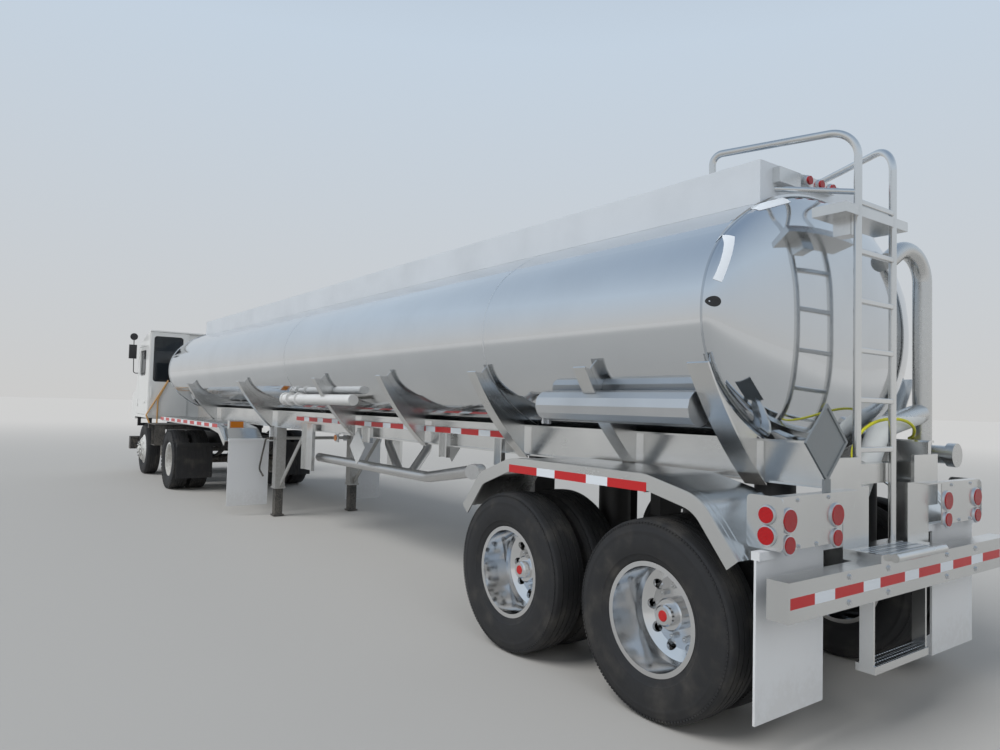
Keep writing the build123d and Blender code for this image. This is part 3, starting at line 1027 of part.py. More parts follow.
# Handrail legs. Columns: Y at the foot, Y and Z of the bend, Y and Z of the top
RAIL_LEGS = ((1170, 1235, 1260, 850, 1970), (1030, 1030, 1580, 850, 1960))
with BuildPart() as deck_rails:
    block(DECK_REAR, DECK_FRONT, 250, DECK_OUTER, DECK_TOP - DECK_SHEET, DECK_TOP)
    for station in (DECK_REAR + 50, DECK_FRONT - 80):
        block(station, station + 50, 350, DECK_OUTER - 20, FRAME_TOP + SEAT, DECK_TOP - DECK_SHEET)
    block(DECK_REAR + 20, DECK_REAR + 20 + STEP_LENGTH, DECK_OUTER - STEP_WIDTH, DECK_OUTER, STEP_Z,
          STEP_Z + DECK_SHEET)
    for station in (DECK_REAR + 20, DECK_REAR + 12 + STEP_LENGTH):
        block(station, station + 8, DECK_OUTER - STEP_WIDTH, DECK_OUTER, STEP_Z, DECK_TOP - 10)
    for foot_y, bend_y, bend_z, top_y, top_z in RAIL_LEGS:
        pipe([(at(HANDRAIL_FOOT), foot_y, DECK_TOP - 2), (at(HANDRAIL_FOOT), bend_y, bend_z),
              (at(HANDRAIL_FOOT), top_y, top_z)], 15, [40])
write(deck_rails, "deck_rails")

# Mirrors: on the cab's front corner and on a stay above the right hood
MIRROR_OUTER, MIRROR_INNER = CAB_LEFT + 200, CAB_LEFT + 50
MIRROR_X, STALK_X = CAB_FRONT - 160, CAB_FRONT - 125
MIRROR_DEPTH = 32.0
with BuildPart() as mirrors:
    block(MIRROR_X, MIRROR_X + MIRROR_DEPTH, MIRROR_INNER, MIRROR_OUTER, 2440, 2740)
    pipe([(at(CAB_FRONT - 110), CAB_LEFT + SEAT, 2130), (at(CAB_FRONT - 110), MIRROR_INNER + 40, 2130),
          (at(STALK_X), MIRROR_INNER + 60, 2900)], 9, [50])
    with Locations(Location((at(STALK_X), MIRROR_INNER + 60, 2915), (0, 80, 0))):
        Cylinder(75, 22)
    block(MIRROR_X, MIRROR_X + 25, -MIRROR_OUTER, -MIRROR_INNER, 2240, 2540)
    pipe([(at(MIRROR_X + 10), 20 - HOOD_Y, HOOD_RIGHT_TOP + SEAT), (at(MIRROR_X + 10), 20 - HOOD_Y, 2000),
          (at(STALK_X), -MIRROR_INNER - 60, 2100), (at(STALK_X), -MIRROR_INNER - 60, 2560)], 12, [60, 60])
write(mirrors, "mirrors")

# Lamps of the tractor: head lamps, tail lamps and the box at the end of the frame
with BuildPart() as tractor_lamps:
    for side in (-1, 1):
        with BuildSketch(cross_plane(FRONT_END - 30)):
            with Locations((side * HEADLAMP_Y, HEADLAMP_Z)):
                RectangleRounded(HEADLAMP_SIZE[0] - 2 * SEAT, HEADLAMP_SIZE[1] - 2 * SEAT, 30)
        extrude(amount=28)
        block(FRAME_TAIL - 30, FRAME_TAIL - SEAT, side * 390, side * 470, 880, 960)
    block(FRAME_TAIL - 50, FRAME_TAIL - SEAT, 150, 330, 1110, 1190)
    block(FRAME_TAIL - 20, FRAME_TAIL - SEAT, 200, 280, 900, 1110)
write(tractor_lamps, "tractor_lamps")

# Inside the cab: seat, dash, steering column and wheel
SEAT_Y = CAB_LEFT - 400
with BuildPart() as cab_interior:
    floor = CAB_FLOOR + CAB_WALL + SEAT
    block(CAB_BACK + 280, CAB_BACK + 610, SEAT_Y - 150, SEAT_Y + 150, floor, floor + 320)
    block(CAB_BACK + 210, CAB_BACK + 700, SEAT_Y - 240, SEAT_Y + 240, floor + 320, floor + 440)
    block(CAB_BACK + 150, CAB_BACK + 270, SEAT_Y - 230, SEAT_Y + 230, floor + 430, floor + 1080)
    block(CAB_FRONT - 190, CAB_FRONT - 60, CAB_RIGHT + CAB_WALL + SEAT, CAB_LEFT - CAB_WALL - SEAT, floor,
          CAB_SILL - 5)
    pipe([(at(CAB_FRONT - 180), SEAT_Y, 1650), (at(CAB_FRONT - 365), SEAT_Y, 1846)], 28, None)
    with BuildSketch(Plane(origin=(at(CAB_FRONT - 358), SEAT_Y, 1838), x_dir=(0, 1, 0), z_dir=(-170, 0, 180))):
        Circle(225)
        Circle(200, mode=Mode.SUBTRACT)
        Rectangle(410, 30)
    extrude(amount=22)
write(cab_interior, "cab_interior")

# Ribbed flaps behind the drive wheels, hung from bars on the frame
TRACTOR_FLAP = DRIVE_AXLE - 610
FLAP_RIBS = 9
with BuildPart() as tractor_flaps:
    for side in (-1, 1):
        block(TRACTOR_FLAP - 25, TRACTOR_FLAP + 25, side * (FRAME_Y + 40 + SEAT), side * 1200, 780, 840)
        block(TRACTOR_FLAP - 6, TRACTOR_FLAP + 6, side * 600, side * 1200, 230, 785)
        for rib in range(FLAP_RIBS):
            y = side * (640 + rib * 65)
            block(TRACTOR_FLAP - 14, TRACTOR_FLAP - 4, y - 8, y + 8, 240, 775)
write(tractor_flaps, "tractor_flaps")
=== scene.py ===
"""Looks for an articulated tanker lorry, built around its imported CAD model.

Metres throughout. X points forward, Y to the left, Z up, and the ground is Z = 0.
"""

import json
import logging
import math
from dataclasses import dataclass, field
from enum import Enum
from typing import Callable, Sequence

import bmesh
import bpy
from mathutils import Matrix, Vector


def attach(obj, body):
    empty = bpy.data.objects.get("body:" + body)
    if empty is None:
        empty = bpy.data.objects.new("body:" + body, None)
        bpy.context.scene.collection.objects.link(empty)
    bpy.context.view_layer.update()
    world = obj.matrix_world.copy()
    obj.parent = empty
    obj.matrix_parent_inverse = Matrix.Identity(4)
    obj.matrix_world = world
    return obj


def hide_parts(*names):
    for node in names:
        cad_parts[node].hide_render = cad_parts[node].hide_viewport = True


Pair = tuple[float, float]
Point = tuple[float, float, float]
Colour = tuple[float, float, float, float]

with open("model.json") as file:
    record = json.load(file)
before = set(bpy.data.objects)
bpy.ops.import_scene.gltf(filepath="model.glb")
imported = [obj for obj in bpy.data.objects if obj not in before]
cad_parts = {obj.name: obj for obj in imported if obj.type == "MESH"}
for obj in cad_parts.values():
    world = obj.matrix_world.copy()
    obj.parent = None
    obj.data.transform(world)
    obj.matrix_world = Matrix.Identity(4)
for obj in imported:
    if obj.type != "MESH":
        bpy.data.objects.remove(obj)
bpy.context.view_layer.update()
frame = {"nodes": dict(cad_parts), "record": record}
LOG = logging.getLogger("tanker")

# Faces that meet at less than this many degrees are shaded smooth
SMOOTH_DEGREES = 35

# Points of a piece that are closer than this many metres become one
MERGE_DISTANCE = 1e-6

# Metres between the CAD's origin and the rear trailer axle, from which the stations are measured
MID_STATION = 7.169


def at(station: float) -> float:
    """X of a station measured forward from the rear trailer axle."""
    return station - MID_STATION


# Shader expressions


def math_method(operation: str) -> Callable[..., "Signal"]:
    """A method for Signal that puts a Math node on it.

    Args:
        operation: the node's operation.

    Returns:
        The method, which takes the node's other values.
    """
    def apply(signal: "Signal", *others: "Signal | float") -> "Signal":
        """The node's result."""
        values = dict(enumerate((signal, *others)))
        return signal.shader.node("ShaderNodeMath", {"operation": operation}, values)
    return apply


class Signal:
    """A node socket that can stand in a Python expression."""

    __add__ = math_method("ADD")
    __sub__ = math_method("SUBTRACT")
    __mul__ = math_method("MULTIPLY")
    __gt__ = math_method("GREATER_THAN")
    __lt__ = math_method("LESS_THAN")
    __abs__ = math_method("ABSOLUTE")
    power = math_method("POWER")
    modulo = math_method("FLOORED_MODULO")

    def __init__(self, shader: "Shader", socket: bpy.types.NodeSocket) -> None:
        """Wraps a socket of a shader's tree."""
        self.shader = shader
        self.socket = socket

    def smooth(self, low: float, high: float, start: float = 0.0, end: float = 1.0) -> "Signal":
        """Maps low..high smoothly to start..end.

        Args:
            low: value that gives start.
            high: value that gives end.
            start: result at and below low.
            end: result at and above high.

        Returns:
            The mapped value.
        """
        return self.shader.node("ShaderNodeMapRange", {"interpolation_type": "SMOOTHSTEP"},
                                {0: self, 1: low, 2: high, 3: start, 4: end})


class Shader:
    """One material's node tree and its Principled surface."""

    # Weight of a noise's finer octaves
    finer_octaves: float = 0.55

    def __init__(self, name: str) -> None:
        """Makes the material with a surface and its coordinates.

        Args:
            name: the material's name.
        """
        self.material = bpy.data.materials.new(name)
        self.material.use_nodes = True
        self.tree = self.material.node_tree
        self.tree.nodes.clear()
        self.surface = self.tree.nodes.new("ShaderNodeBsdfPrincipled")
        output = self.tree.nodes.new("ShaderNodeOutputMaterial")
        self.tree.links.new(self.surface.outputs[0], output.inputs[0])
        self.place = self.node("ShaderNodeTexCoord", {}, {}, "Object")

    def link(self, target: bpy.types.NodeSocket, value: "Signal | float | Sequence[float]") -> None:
        """Links a signal to a socket, or sets the socket to a plain value.

        Args:
            target: the socket.
            value: what it gets.
        """
        if isinstance(value, Signal):
            self.tree.links.new(value.socket, target)
        else:
            target.default_value = value

    def node(self, kind: str, settings: dict[str, object], values: dict[int | str, object],
             output: int | str = 0) -> Signal:
        """Makes any node: its settings first, then its sockets.

        Args:
            kind: the node's type name.
            settings: the node's attributes.
            values: socket index or name to a value or signal.
            output: the output wanted.

        Returns:
            The chosen output as a signal.
        """
        made = self.tree.nodes.new(kind)
        for key, setting in settings.items():
            setattr(made, key, setting)
        for key, value in values.items():
            self.link(made.inputs[key], value)
        return Signal(self, made.outputs[output])

    def axis(self, index: int) -> Signal:
        """One of the three Object coordinates."""
        return self.node("ShaderNodeSeparateXYZ", {}, {0: self.place}, index)

    def noise(self, scale: float, detail: float = 4.0, stretch: Point = (1.0, 1.0, 1.0)) -> Signal:
        """Noise on Object coordinates.

        Args:
            scale: size of the pattern, larger is finer.
            detail: octaves.
            stretch: factors along X, Y and Z.

        Returns:
            A value near 0.5.
        """
        place = self.node("ShaderNodeVectorMath", {"operation": "MULTIPLY"}, {0: self.place, 1: stretch})
        values = {"Vector": place, "Scale": scale, "Detail": detail, "Roughness": self.finer_octaves}
        return self.node("ShaderNodeTexNoise", {}, values)

    def mix(self, factor: Signal | float, first: Colour | Signal, second: Colour | Signal) -> Signal:
        """Blends two colours by a factor."""
        return self.node("ShaderNodeMix", {"data_type": "RGBA"}, {0: factor, 6: first, 7: second}, 2)

    def bump(self, height: Signal, depth: float) -> None:
        """Raises the surface by a height signal times a depth in metres."""
        self.set(normal=self.node("ShaderNodeBump", {}, {"Height": height, "Distance": depth}))

    def set(self, **values: Signal | float | Colour) -> None:
        """Sets or links surface sockets; base_color becomes Base Color."""
        for key, value in values.items():
            self.link(self.surface.inputs[key.replace("_", " ").title().replace("Ior", "IOR")], value)


# Finishes


@dataclass(frozen=True)
class Metal:
    """Bare metal, brushed along one way, with faint stains and perhaps weld seams across X."""

    name: str
    tint: Colour
    roughness: float
    spread: float = 0.08
    grain: float = 30.0
    relief: float = 0.0
    brushed: Point = (1.0, 1.0, 1.0)
    stain: float = 0.10
    seams: tuple[float, ...] = ()
    seam_half: float = 0.012
    seam_relief: float = 0.0016
    metallic: float = 1.0
    seam_roughness: float = 0.3
    dent_share: float = 0.9
    fine_share: float = 4.0
    fine_octaves: float = 3.0
    # Noise patterns. Columns: scale, octaves
    cloud: Pair = (1.7, 4.0)
    dents: Pair = (0.9, 2.0)
    # Values of the cloud between which the roughness and the stain grow
    rough_span: Pair = (0.25, 0.8)
    stain_span: Pair = (0.35, 0.8)

    def build(self) -> bpy.types.Material:
        """Makes the material.

        Returns:
            The material.
        """
        shader = Shader(self.name)
        cloud = shader.noise(*self.cloud)
        fine = shader.noise(self.grain * self.fine_share, self.fine_octaves, self.brushed)
        dull = tuple(c * (1.0 - self.stain) for c in self.tint[:3]) + (1.0,)
        rough = cloud.smooth(*self.rough_span, self.roughness, self.roughness + self.spread)
        rough = rough + (fine - 0.5) * self.spread
        mark: Signal | float = 0.0
        for seam in self.seams:
            mark = abs(shader.axis(0) - at(seam)).smooth(0.0, self.seam_half, 1.0, 0.0) + mark
        shader.set(base_color=shader.mix(cloud.smooth(*self.stain_span), self.tint, dull),
                   roughness=(mark * self.seam_roughness + rough) if self.seams else rough,
                   metallic=self.metallic)
        if self.seams:
            shader.bump(mark + shader.noise(*self.dents) * self.dent_share, self.seam_relief)
        elif self.relief:
            shader.bump(fine, self.relief)
        return shader.material


@dataclass(frozen=True)
class Paint:
    """Coated surface with dust low down and faint wear."""

    name: str
    tint: Colour
    roughness: float
    dust: Colour = (0.33, 0.29, 0.24, 1.0)
    dust_low: float = 0.1
    dust_top: float = 0.9
    dust_aloft: float = 0.12
    dust_share: float = 0.5
    dust_roughness: float = 0.4
    # Values of the noise between which the dust grows, after its gain
    dust_span: Pair = (0.35, 1.1)
    gain: float = 4.0
    coat: float = 0.0
    coat_roughness: float = 0.08
    relief: float = 0.0003
    # Noise patterns. Columns: scale, octaves
    cloud: Pair = (2.3, 6.0)
    spots: Pair = (26.0, 4.0)

    def build(self) -> bpy.types.Material:
        """Makes the material.

        Returns:
            The material.
        """
        shader = Shader(self.name)
        cloud = shader.noise(*self.cloud)
        spots = shader.noise(*self.spots)
        low = shader.axis(2).smooth(self.dust_low, self.dust_top, 1.0, self.dust_aloft)
        mask = (cloud * spots * self.gain * low).smooth(*self.dust_span, 0.0, self.dust_share)
        shader.set(base_color=shader.mix(mask, self.tint, self.dust),
                   roughness=mask * self.dust_roughness + self.roughness,
                   coat_weight=self.coat, coat_roughness=self.coat_roughness)
        shader.bump(spots, self.relief)
        return shader.material


@dataclass(frozen=True)
class Limit:
    """One test on a coordinate: true above its value, or below it."""

    axis: int
    value: float
    above: bool = True


@dataclass(frozen=True)
class TwoTone:
    """Bare or coated surface that changes where every limit holds."""

    name: str
    base: Colour
    tint: Colour
    limits: tuple[Limit, ...]
    base_metal: float = 0.0
    metal: float = 0.0
    base_roughness: float = 0.5
    roughness: float = 0.5
    dust: Colour = (0.30, 0.27, 0.23, 1.0)
    dust_roughness: float = 0.3
    # Values of the noise between which the dust grows, after its gain
    dust_span: Pair = (0.5, 1.5)
    gain: float = 4.0
    wear: float = 0.35
    relief: float = 0.0003
    # Noise patterns. Columns: scale, octaves
    cloud: Pair = (4.0, 6.0)
    spots: Pair = (45.0, 4.0)

    def build(self) -> bpy.types.Material:
        """Makes the material.

        Returns:
            The material.
        """
        shader = Shader(self.name)
        mask: Signal | float = 1.0
        for limit in self.limits:
            place = shader.axis(limit.axis)
            mask = (place > limit.value if limit.above else place < limit.value) * mask
        cloud = shader.noise(*self.cloud)
        spots = shader.noise(*self.spots)
        dusty = (cloud * spots * self.gain).smooth(*self.dust_span, 0.0, self.wear)
        colour = shader.mix(dusty, shader.mix(mask, self.base, self.tint), self.dust)
        rough = mask * (self.roughness - self.base_roughness) + dusty * self.dust_roughness
        rough = rough + self.base_roughness
        shader.set(base_color=colour, metallic=mask * (self.metal - self.base_metal) + self.base_metal,
                   roughness=rough)
        shader.bump(spots, self.relief)
        return shader.material


@dataclass(frozen=True)
class Rubber:
    """Dark rubber, dusty where it has touched the ground."""

    name: str
    tint: Colour = (0.022, 0.022, 0.023, 1.0)
    dust: Colour = (0.16, 0.145, 0.125, 1.0)
    dust_share: float = 0.4
    relief: float = 0.0006
    # Noise patterns. Columns: scale, octaves
    cloud: Pair = (5.0, 6.0)
    grain: Pair = (140.0, 3.0)
    # Values of the cloud between which the dust and the roughness grow
    dust_span: Pair = (0.45, 0.85)
    rough_span: Pair = (0.2, 0.8)
    roughness: Pair = (0.62, 0.85)

    def build(self) -> bpy.types.Material:
        """Makes the material.

        Returns:
            The material.
        """
        shader = Shader(self.name)
        cloud = shader.noise(*self.cloud)
        fine = shader.noise(*self.grain)
        mask = cloud.smooth(*self.dust_span, 0.0, self.dust_share)
        shader.set(base_color=shader.mix(mask, self.tint, self.dust),
                   roughness=cloud.smooth(*self.rough_span, *self.roughness))
        shader.bump(fine, self.relief)
        return shader.material


@dataclass(frozen=True)
class Glass:
    """Tinted glazing with a faint haze."""

    name: str
    tint: Colour
    # The haze's scale and octaves, and the values between which it grows
    haze: Pair = (6.0, 4.0)
    span: Pair = (0.3, 0.9)
    roughness: Pair = (0.02, 0.09)
    alpha: Pair = (0.55, 0.68)

    def build(self) -> bpy.types.Material:
        """Makes the material.

        Returns:
            The material.
        """
        shader = Shader(self.name)
        haze = shader.noise(*self.haze)
        shader.set(base_color=self.tint, roughness=haze.smooth(*self.span, *self.roughness),
                   alpha=haze.smooth(*self.span, *self.alpha), metallic=0.0)
        return shader.material


@dataclass(frozen=True)
class Lens:
    """Ribbed lamp lens, with painted shade darkening the rib hollows."""

    name: str
    tint: Colour
    rib: float = 0.006
    rib_relief: float = 0.0008
    # Share of the tint left where painted shade darkens the rib hollows
    hollow_shade_share: float = 0.55
    roughness: float = 0.25
    coat: float = 0.5
    coat_roughness: float = 0.05
    specular: float = 0.2

    def build(self) -> bpy.types.Material:
        """Makes the material.

        Returns:
            The material.
        """
        shader = Shader(self.name)
        rib = abs(shader.axis(1).modulo(self.rib) - self.rib / 2) * (2 / self.rib)
        rise = abs(shader.axis(2).modulo(self.rib) - self.rib / 2) * (2 / self.rib)
        # Painted shade: the lens colour darkens along the rib hollows, where the bump below is lowest
        hollow_shade = tuple(c * self.hollow_shade_share for c in self.tint[:3]) + (1.0,)
        shader.set(base_color=shader.mix(rib * rise, hollow_shade, self.tint), roughness=self.roughness,
                   coat_weight=self.coat, coat_roughness=self.coat_roughness,
                   specular_ior_level=self.specular)
        shader.bump(rib + rise, self.rib_relief)
        return shader.material


class Finish(Enum):
    """Every finish of the vehicle."""

    POLISHED = Metal("polished_tank", (0.74, 0.76, 0.78, 1.0), 0.055, 0.02, 12.0, seams=(1.75, 5.94),
                     stain=0.05)
    HEADS = Metal("polished_heads", (0.70, 0.72, 0.74, 1.0), 0.05, 0.03, 12.0, stain=0.06)
    BRIGHT = Metal("bright_aluminium", (0.76, 0.76, 0.75, 1.0), 0.20, 0.08, 22.0, 0.00005, (0.4, 2.0, 2.0))
    MILL = Metal("mill_aluminium", (0.70, 0.71, 0.72, 1.0), 0.34, 0.12, 40.0, 0.00008, (0.4, 2.0, 2.0))
    DAM = Metal("satin_sheet", (0.76, 0.79, 0.82, 1.0), 0.44, 0.10, 14.0, 0.0002, (0.10, 3.0, 3.0), 0.08,
                metallic=0.45)
    WHEEL = Metal("polished_wheel", (0.80, 0.80, 0.80, 1.0), 0.10, 0.08, 30.0)
    LEGS = TwoTone("support_legs", (0.03, 0.03, 0.03, 1.0), (0.46, 0.46, 0.45, 1.0),
                   (Limit(2, 0.39), Limit(1, 0.66, False)), metal=0.6, roughness=0.42)
    HANDRAIL = TwoTone("yellow_rail", (0.04, 0.04, 0.04, 1.0), (0.62, 0.33, 0.10, 1.0), (Limit(2, 1.1),))
    PIPE = TwoTone("vapour_line", (0.66, 0.66, 0.65, 1.0), (0.72, 0.73, 0.72, 1.0),
                   (Limit(1, -0.82), Limit(2, 1.62, False)), base_metal=1.0, base_roughness=0.27,
                   roughness=0.45, wear=0.05, relief=0.00004)
    STEEL = Paint("dark_steel", (0.035, 0.034, 0.033, 1.0), 0.5, dust_share=0.55)
    BLACK = Paint("black_paint", (0.025, 0.025, 0.027, 1.0), 0.38, dust_share=0.5, dust_top=1.3)
    IRON = Paint("engine_iron", (0.09, 0.085, 0.08, 1.0), 0.6)
    WHITE = Paint("white_paint", (0.74, 0.74, 0.72, 1.0), 0.32, dust_share=0.22, dust_top=2.2, coat=0.4)
    WHITE_WHEEL = Paint("white_wheel", (0.66, 0.66, 0.64, 1.0), 0.4, dust_share=0.5, dust_top=1.2)
    FLAP = Paint("white_sheet", (0.68, 0.69, 0.70, 1.0), 0.32, dust_share=0.14, dust_top=0.6)
    PLATE = TwoTone("sign_plate", (0.24, 0.26, 0.27, 1.0), (0.62, 0.63, 0.63, 1.0), (Limit(0, -5.0),),
                    base_metal=0.4, metal=0.3, base_roughness=0.4, roughness=0.35, wear=0.1, relief=0.0001)
    PIPING = TwoTone("product_line", (0.64, 0.64, 0.64, 1.0), (0.70, 0.70, 0.69, 1.0), (Limit(2, 1.50),),
                     base_metal=1.0, base_roughness=0.3, roughness=0.4, wear=0.1, relief=0.00005)
    TYRE = Rubber("tyre_rubber")
    RUBBER = Rubber("black_rubber")
    SEAT = Rubber("seat_plastic", (0.04, 0.04, 0.045, 1.0), (0.08, 0.08, 0.08, 1.0))
    GLASS = Glass("window_glass", (0.02, 0.025, 0.03, 1.0))
    RED_LENS = Lens("red_lamp", (0.55, 0.006, 0.010, 1.0))
    AMBER_LENS = Lens("amber_lamp", (0.72, 0.22, 0.01, 1.0))
    CAB_LAMPS = TwoTone("cab_lamps", (0.55, 0.006, 0.010, 1.0), (0.62, 0.64, 0.66, 1.0), (Limit(0, 7.0),),
                        metal=0.5, base_roughness=0.25, roughness=0.12, wear=0.08, relief=0.00005)
    HOSE = Rubber("yellow_hose", (0.62, 0.60, 0.03, 1.0), (0.45, 0.40, 0.10, 1.0))
    TAPE_RED = Paint("tape_red", (0.50, 0.012, 0.014, 1.0), 0.3, dust_share=0.15)
    TAPE_WHITE = Paint("tape_white", (0.70, 0.74, 0.78, 1.0), 0.3, dust_share=0.15)

    def material(self) -> bpy.types.Material:
        """The finish's one material, made on first use."""
        found = bpy.data.materials.get(self.value.name)
        return found or self.value.build()


def make_material_room() -> None:
    """Renames the imported materials so the finishes can have their names."""
    for material in list(bpy.data.materials):
        material.name = "cad_" + material.name


def nodes_with(*words: str) -> tuple[str, ...]:
    """The CAD nodes whose names hold every word."""
    return tuple(node for node in frame["nodes"] if all(word in node for word in words))


# Mesh helpers


def show(name: str, data: bpy.types.ID) -> bpy.types.Object:
    """Makes an object with some data and puts it in the scene.

    Args:
        name: the object's name.
        data: its mesh, curve, camera or light.

    Returns:
        The object.
    """
    made = bpy.data.objects.new(name, data)
    bpy.context.scene.collection.objects.link(made)
    return made


def piece(name: str, mesh: bmesh.types.BMesh, finish: Finish, body: str,
          smooth: bool = False) -> bpy.types.Object:
    """Turns a bmesh into a piece that rides on a body.

    Args:
        name: the piece's name.
        mesh: its geometry, which is freed.
        finish: its material.
        body: the CAD body that carries it.
        smooth: whether faces under SMOOTH_DEGREES apart are shaded smooth.

    Returns:
        The object.
    """
    bmesh.ops.remove_doubles(mesh, verts=mesh.verts, dist=MERGE_DISTANCE)
    bmesh.ops.recalc_face_normals(mesh, faces=mesh.faces)
    data = bpy.data.meshes.new(name)
    mesh.to_mesh(data)
    mesh.free()
    data.materials.append(finish.material())
    made = show(name, data)
    if smooth:
        data.shade_smooth()
        data.set_sharp_from_angle(angle=math.radians(SMOOTH_DEGREES))
    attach(made, body)
    LOG.info("made %s on %s", name, body)
    return made


def add_box(mesh: bmesh.types.BMesh, low: Sequence[float], high: Sequence[float]) -> None:
    """Adds an axis-aligned box between two corners.

    Args:
        mesh: where it goes.
        low: one corner.
        high: the opposite corner.
    """
    centre = [(a + b) / 2 for a, b in zip(low, high)]
    size = [abs(b - a) for a, b in zip(low, high)]
    place = Matrix.Translation(centre) @ Matrix.Diagonal((*size, 1.0))
    bmesh.ops.create_cube(mesh, size=1.0, matrix=place)


def add_disc(mesh: bmesh.types.BMesh, centre: Sequence[float], axis: Sequence[float], radius: float,
             thick: float, sides: int = 32, taper: float = 1.0) -> None:
    """Adds a short cylinder or cone that starts at centre and goes along axis.

    Args:
        mesh: where it goes.
        centre: middle of its base.
        axis: direction from base to top.
        radius: base radius.
        thick: length along the axis.
        sides: number of sides.
        taper: top radius as a share of the base radius.
    """
    way = Vector(axis).normalized()
    turn = way.to_track_quat("Z", "Y").to_matrix().to_4x4()
    place = Matrix.Translation(Vector(centre) + way * thick / 2) @ turn
    bmesh.ops.create_cone(mesh, cap_ends=True, segments=sides, radius1=radius, radius2=radius * taper,
                          depth=thick, matrix=place)


def bridge(mesh: bmesh.types.BMesh, rows: Sequence[Sequence[bmesh.types.BMVert]], ring: bool,
           closed: bool) -> None:
    """Adds the faces between each row of points and the next.

    Args:
        mesh: where they go.
        rows: rows with the same number of points.
        ring: whether the last row joins the first.
        closed: whether each row's last point joins its first.
    """
    following = list(rows[1:]) + ([rows[0]] if ring else [])
    for here, there in zip(rows, following):
        for index in range(len(here) if closed else len(here) - 1):
            after = (index + 1) % len(here)
            mesh.faces.new((here[index], here[after], there[after], there[index]))


# Repeated pieces


class Solid(Enum):
    """What a repeat tree copies: a node's type and the sockets that make it one unit across."""

    BLOCK = ("GeometryNodeMeshCube", {})
    HEX = ("GeometryNodeMeshCylinder", {"Vertices": 6, "Radius": 0.5, "Depth": 1.0})
    DOME = ("GeometryNodeMeshUVSphere", {"Segments": 12, "Rings": 6, "Radius": 0.5})


class Layout(Enum):
    """How a repeat tree spreads its copies."""

    RING = "GeometryNodeMeshCircle"
    ROW = "GeometryNodeMeshLine"


@dataclass(frozen=True)
class Repeat:
    """A Geometry Nodes tree that copies one small solid round an axle or along a row."""

    solid: Solid
    layout: Layout

    def tree(self) -> bpy.types.NodeTree:
        """The tree, made on first use.

        Returns:
            A tree with the named inputs Count, Radius, Centre, Step, Size and Finish.
        """
        name = f"repeat_{self.solid.name.lower()}_{self.layout.name.lower()}"
        if name in bpy.data.node_groups:
            return bpy.data.node_groups[name]
        tree = bpy.data.node_groups.new(name, "GeometryNodeTree")
        tree.is_modifier = True
        for label, kind in (("Count", "Int"), ("Radius", "Float"), ("Centre", "Vector"), ("Step", "Vector"),
                            ("Size", "Vector"), ("Finish", "Material")):
            tree.interface.new_socket(name=label, in_out="INPUT", socket_type="NodeSocket" + kind)
        tree.interface.new_socket(name="Geometry", in_out="OUTPUT", socket_type="NodeSocketGeometry")
        new = tree.nodes.new
        inputs, copies = new("NodeGroupInput"), new("GeometryNodeInstanceOnPoints")
        points, place = new(self.layout.value), new("GeometryNodeTransform")
        joins = [(self._solid(tree, inputs), "Geometry", copies, "Instance"),
                 (copies, "Instances", place, "Geometry"), (inputs, "Centre", place, "Translation")]
        if self.layout is Layout.RING:
            stand, turn = new("GeometryNodeTransform"), new("FunctionNodeAlignRotationToVector")
            stand.inputs["Rotation"].default_value = (math.pi / 2, 0.0, 0.0)
            turn.axis, turn.pivot_axis = "X", "Y"
            joins += [(inputs, "Count", points, "Vertices"), (inputs, "Radius", points, "Radius"),
                      (points, "Mesh", stand, "Geometry"), (stand, "Geometry", copies, "Points"),
                      (new("GeometryNodeInputPosition"), "Position", turn, "Vector"),
                      (turn, "Rotation", copies, "Rotation")]
        else:
            joins += [(inputs, "Count", points, "Count"), (inputs, "Step", points, "Offset"),
                      (points, "Mesh", copies, "Points")]
        real, coat = new("GeometryNodeRealizeInstances"), new("GeometryNodeSetMaterial")
        joins += [(place, "Geometry", real, "Geometry"), (real, "Geometry", coat, "Geometry"),
                  (inputs, "Finish", coat, "Material"),
                  (coat, "Geometry", new("NodeGroupOutput"), "Geometry")]
        for giver, output, taker, socket in joins:
            tree.links.new(giver.outputs[output], taker.inputs[socket])
        return tree

    def _solid(self, tree: bpy.types.NodeTree, inputs: bpy.types.Node) -> bpy.types.Node:
        """Makes the copied solid, scaled to Size, with a cylinder's length along Y.

        Args:
            tree: where it goes.
            inputs: the tree's inputs.

        Returns:
            The node that gives it.
        """
        kind, sockets = self.solid.value
        shape = tree.nodes.new(kind)
        lay, size = tree.nodes.new("GeometryNodeTransform"), tree.nodes.new("GeometryNodeTransform")
        for label, value in sockets.items():
            shape.inputs[label].default_value = value
        lay.inputs["Rotation"].default_value[0] = math.pi / 2 if self.solid is Solid.HEX else 0.0
        tree.links.new(shape.outputs["Mesh"], lay.inputs["Geometry"])
        tree.links.new(lay.outputs["Geometry"], size.inputs["Geometry"])
        tree.links.new(inputs.outputs["Size"], size.inputs["Scale"])
        return size

    def into(self, mesh: bmesh.types.BMesh, count: int, centre: Point, size: Point, finish: Finish,
             radius: float = 0.0, step: Point = (0.0, 0.0, 0.0)) -> None:
        """Evaluates the tree and adds its plain mesh to a bmesh.

        Args:
            mesh: where the copies go.
            count: how many.
            centre: the ring's centre, or the row's first place.
            size: the solid's size along X, Y and Z; on a ring X is outwards.
            finish: the material that the tree sets.
            radius: the ring's radius.
            step: from one copy in a row to the next.
        """
        tree = self.tree()
        holder = show("repeat_holder", bpy.data.meshes.new("repeat_holder"))
        modifier = holder.modifiers.new("repeat", "NODES")
        modifier.node_group = tree
        values = {"Count": count, "Radius": radius, "Centre": centre, "Step": step, "Size": size,
                  "Finish": finish.material()}
        for socket in tree.interface.items_tree:
            if socket.in_out == "INPUT":
                modifier[socket.identifier] = values[socket.name]
        bpy.context.view_layer.update()
        plain = bpy.data.meshes.new_from_object(holder.evaluated_get(bpy.context.evaluated_depsgraph_get()))
        mesh.from_mesh(plain)
        bpy.data.meshes.remove(plain)
        bpy.data.objects.remove(holder)


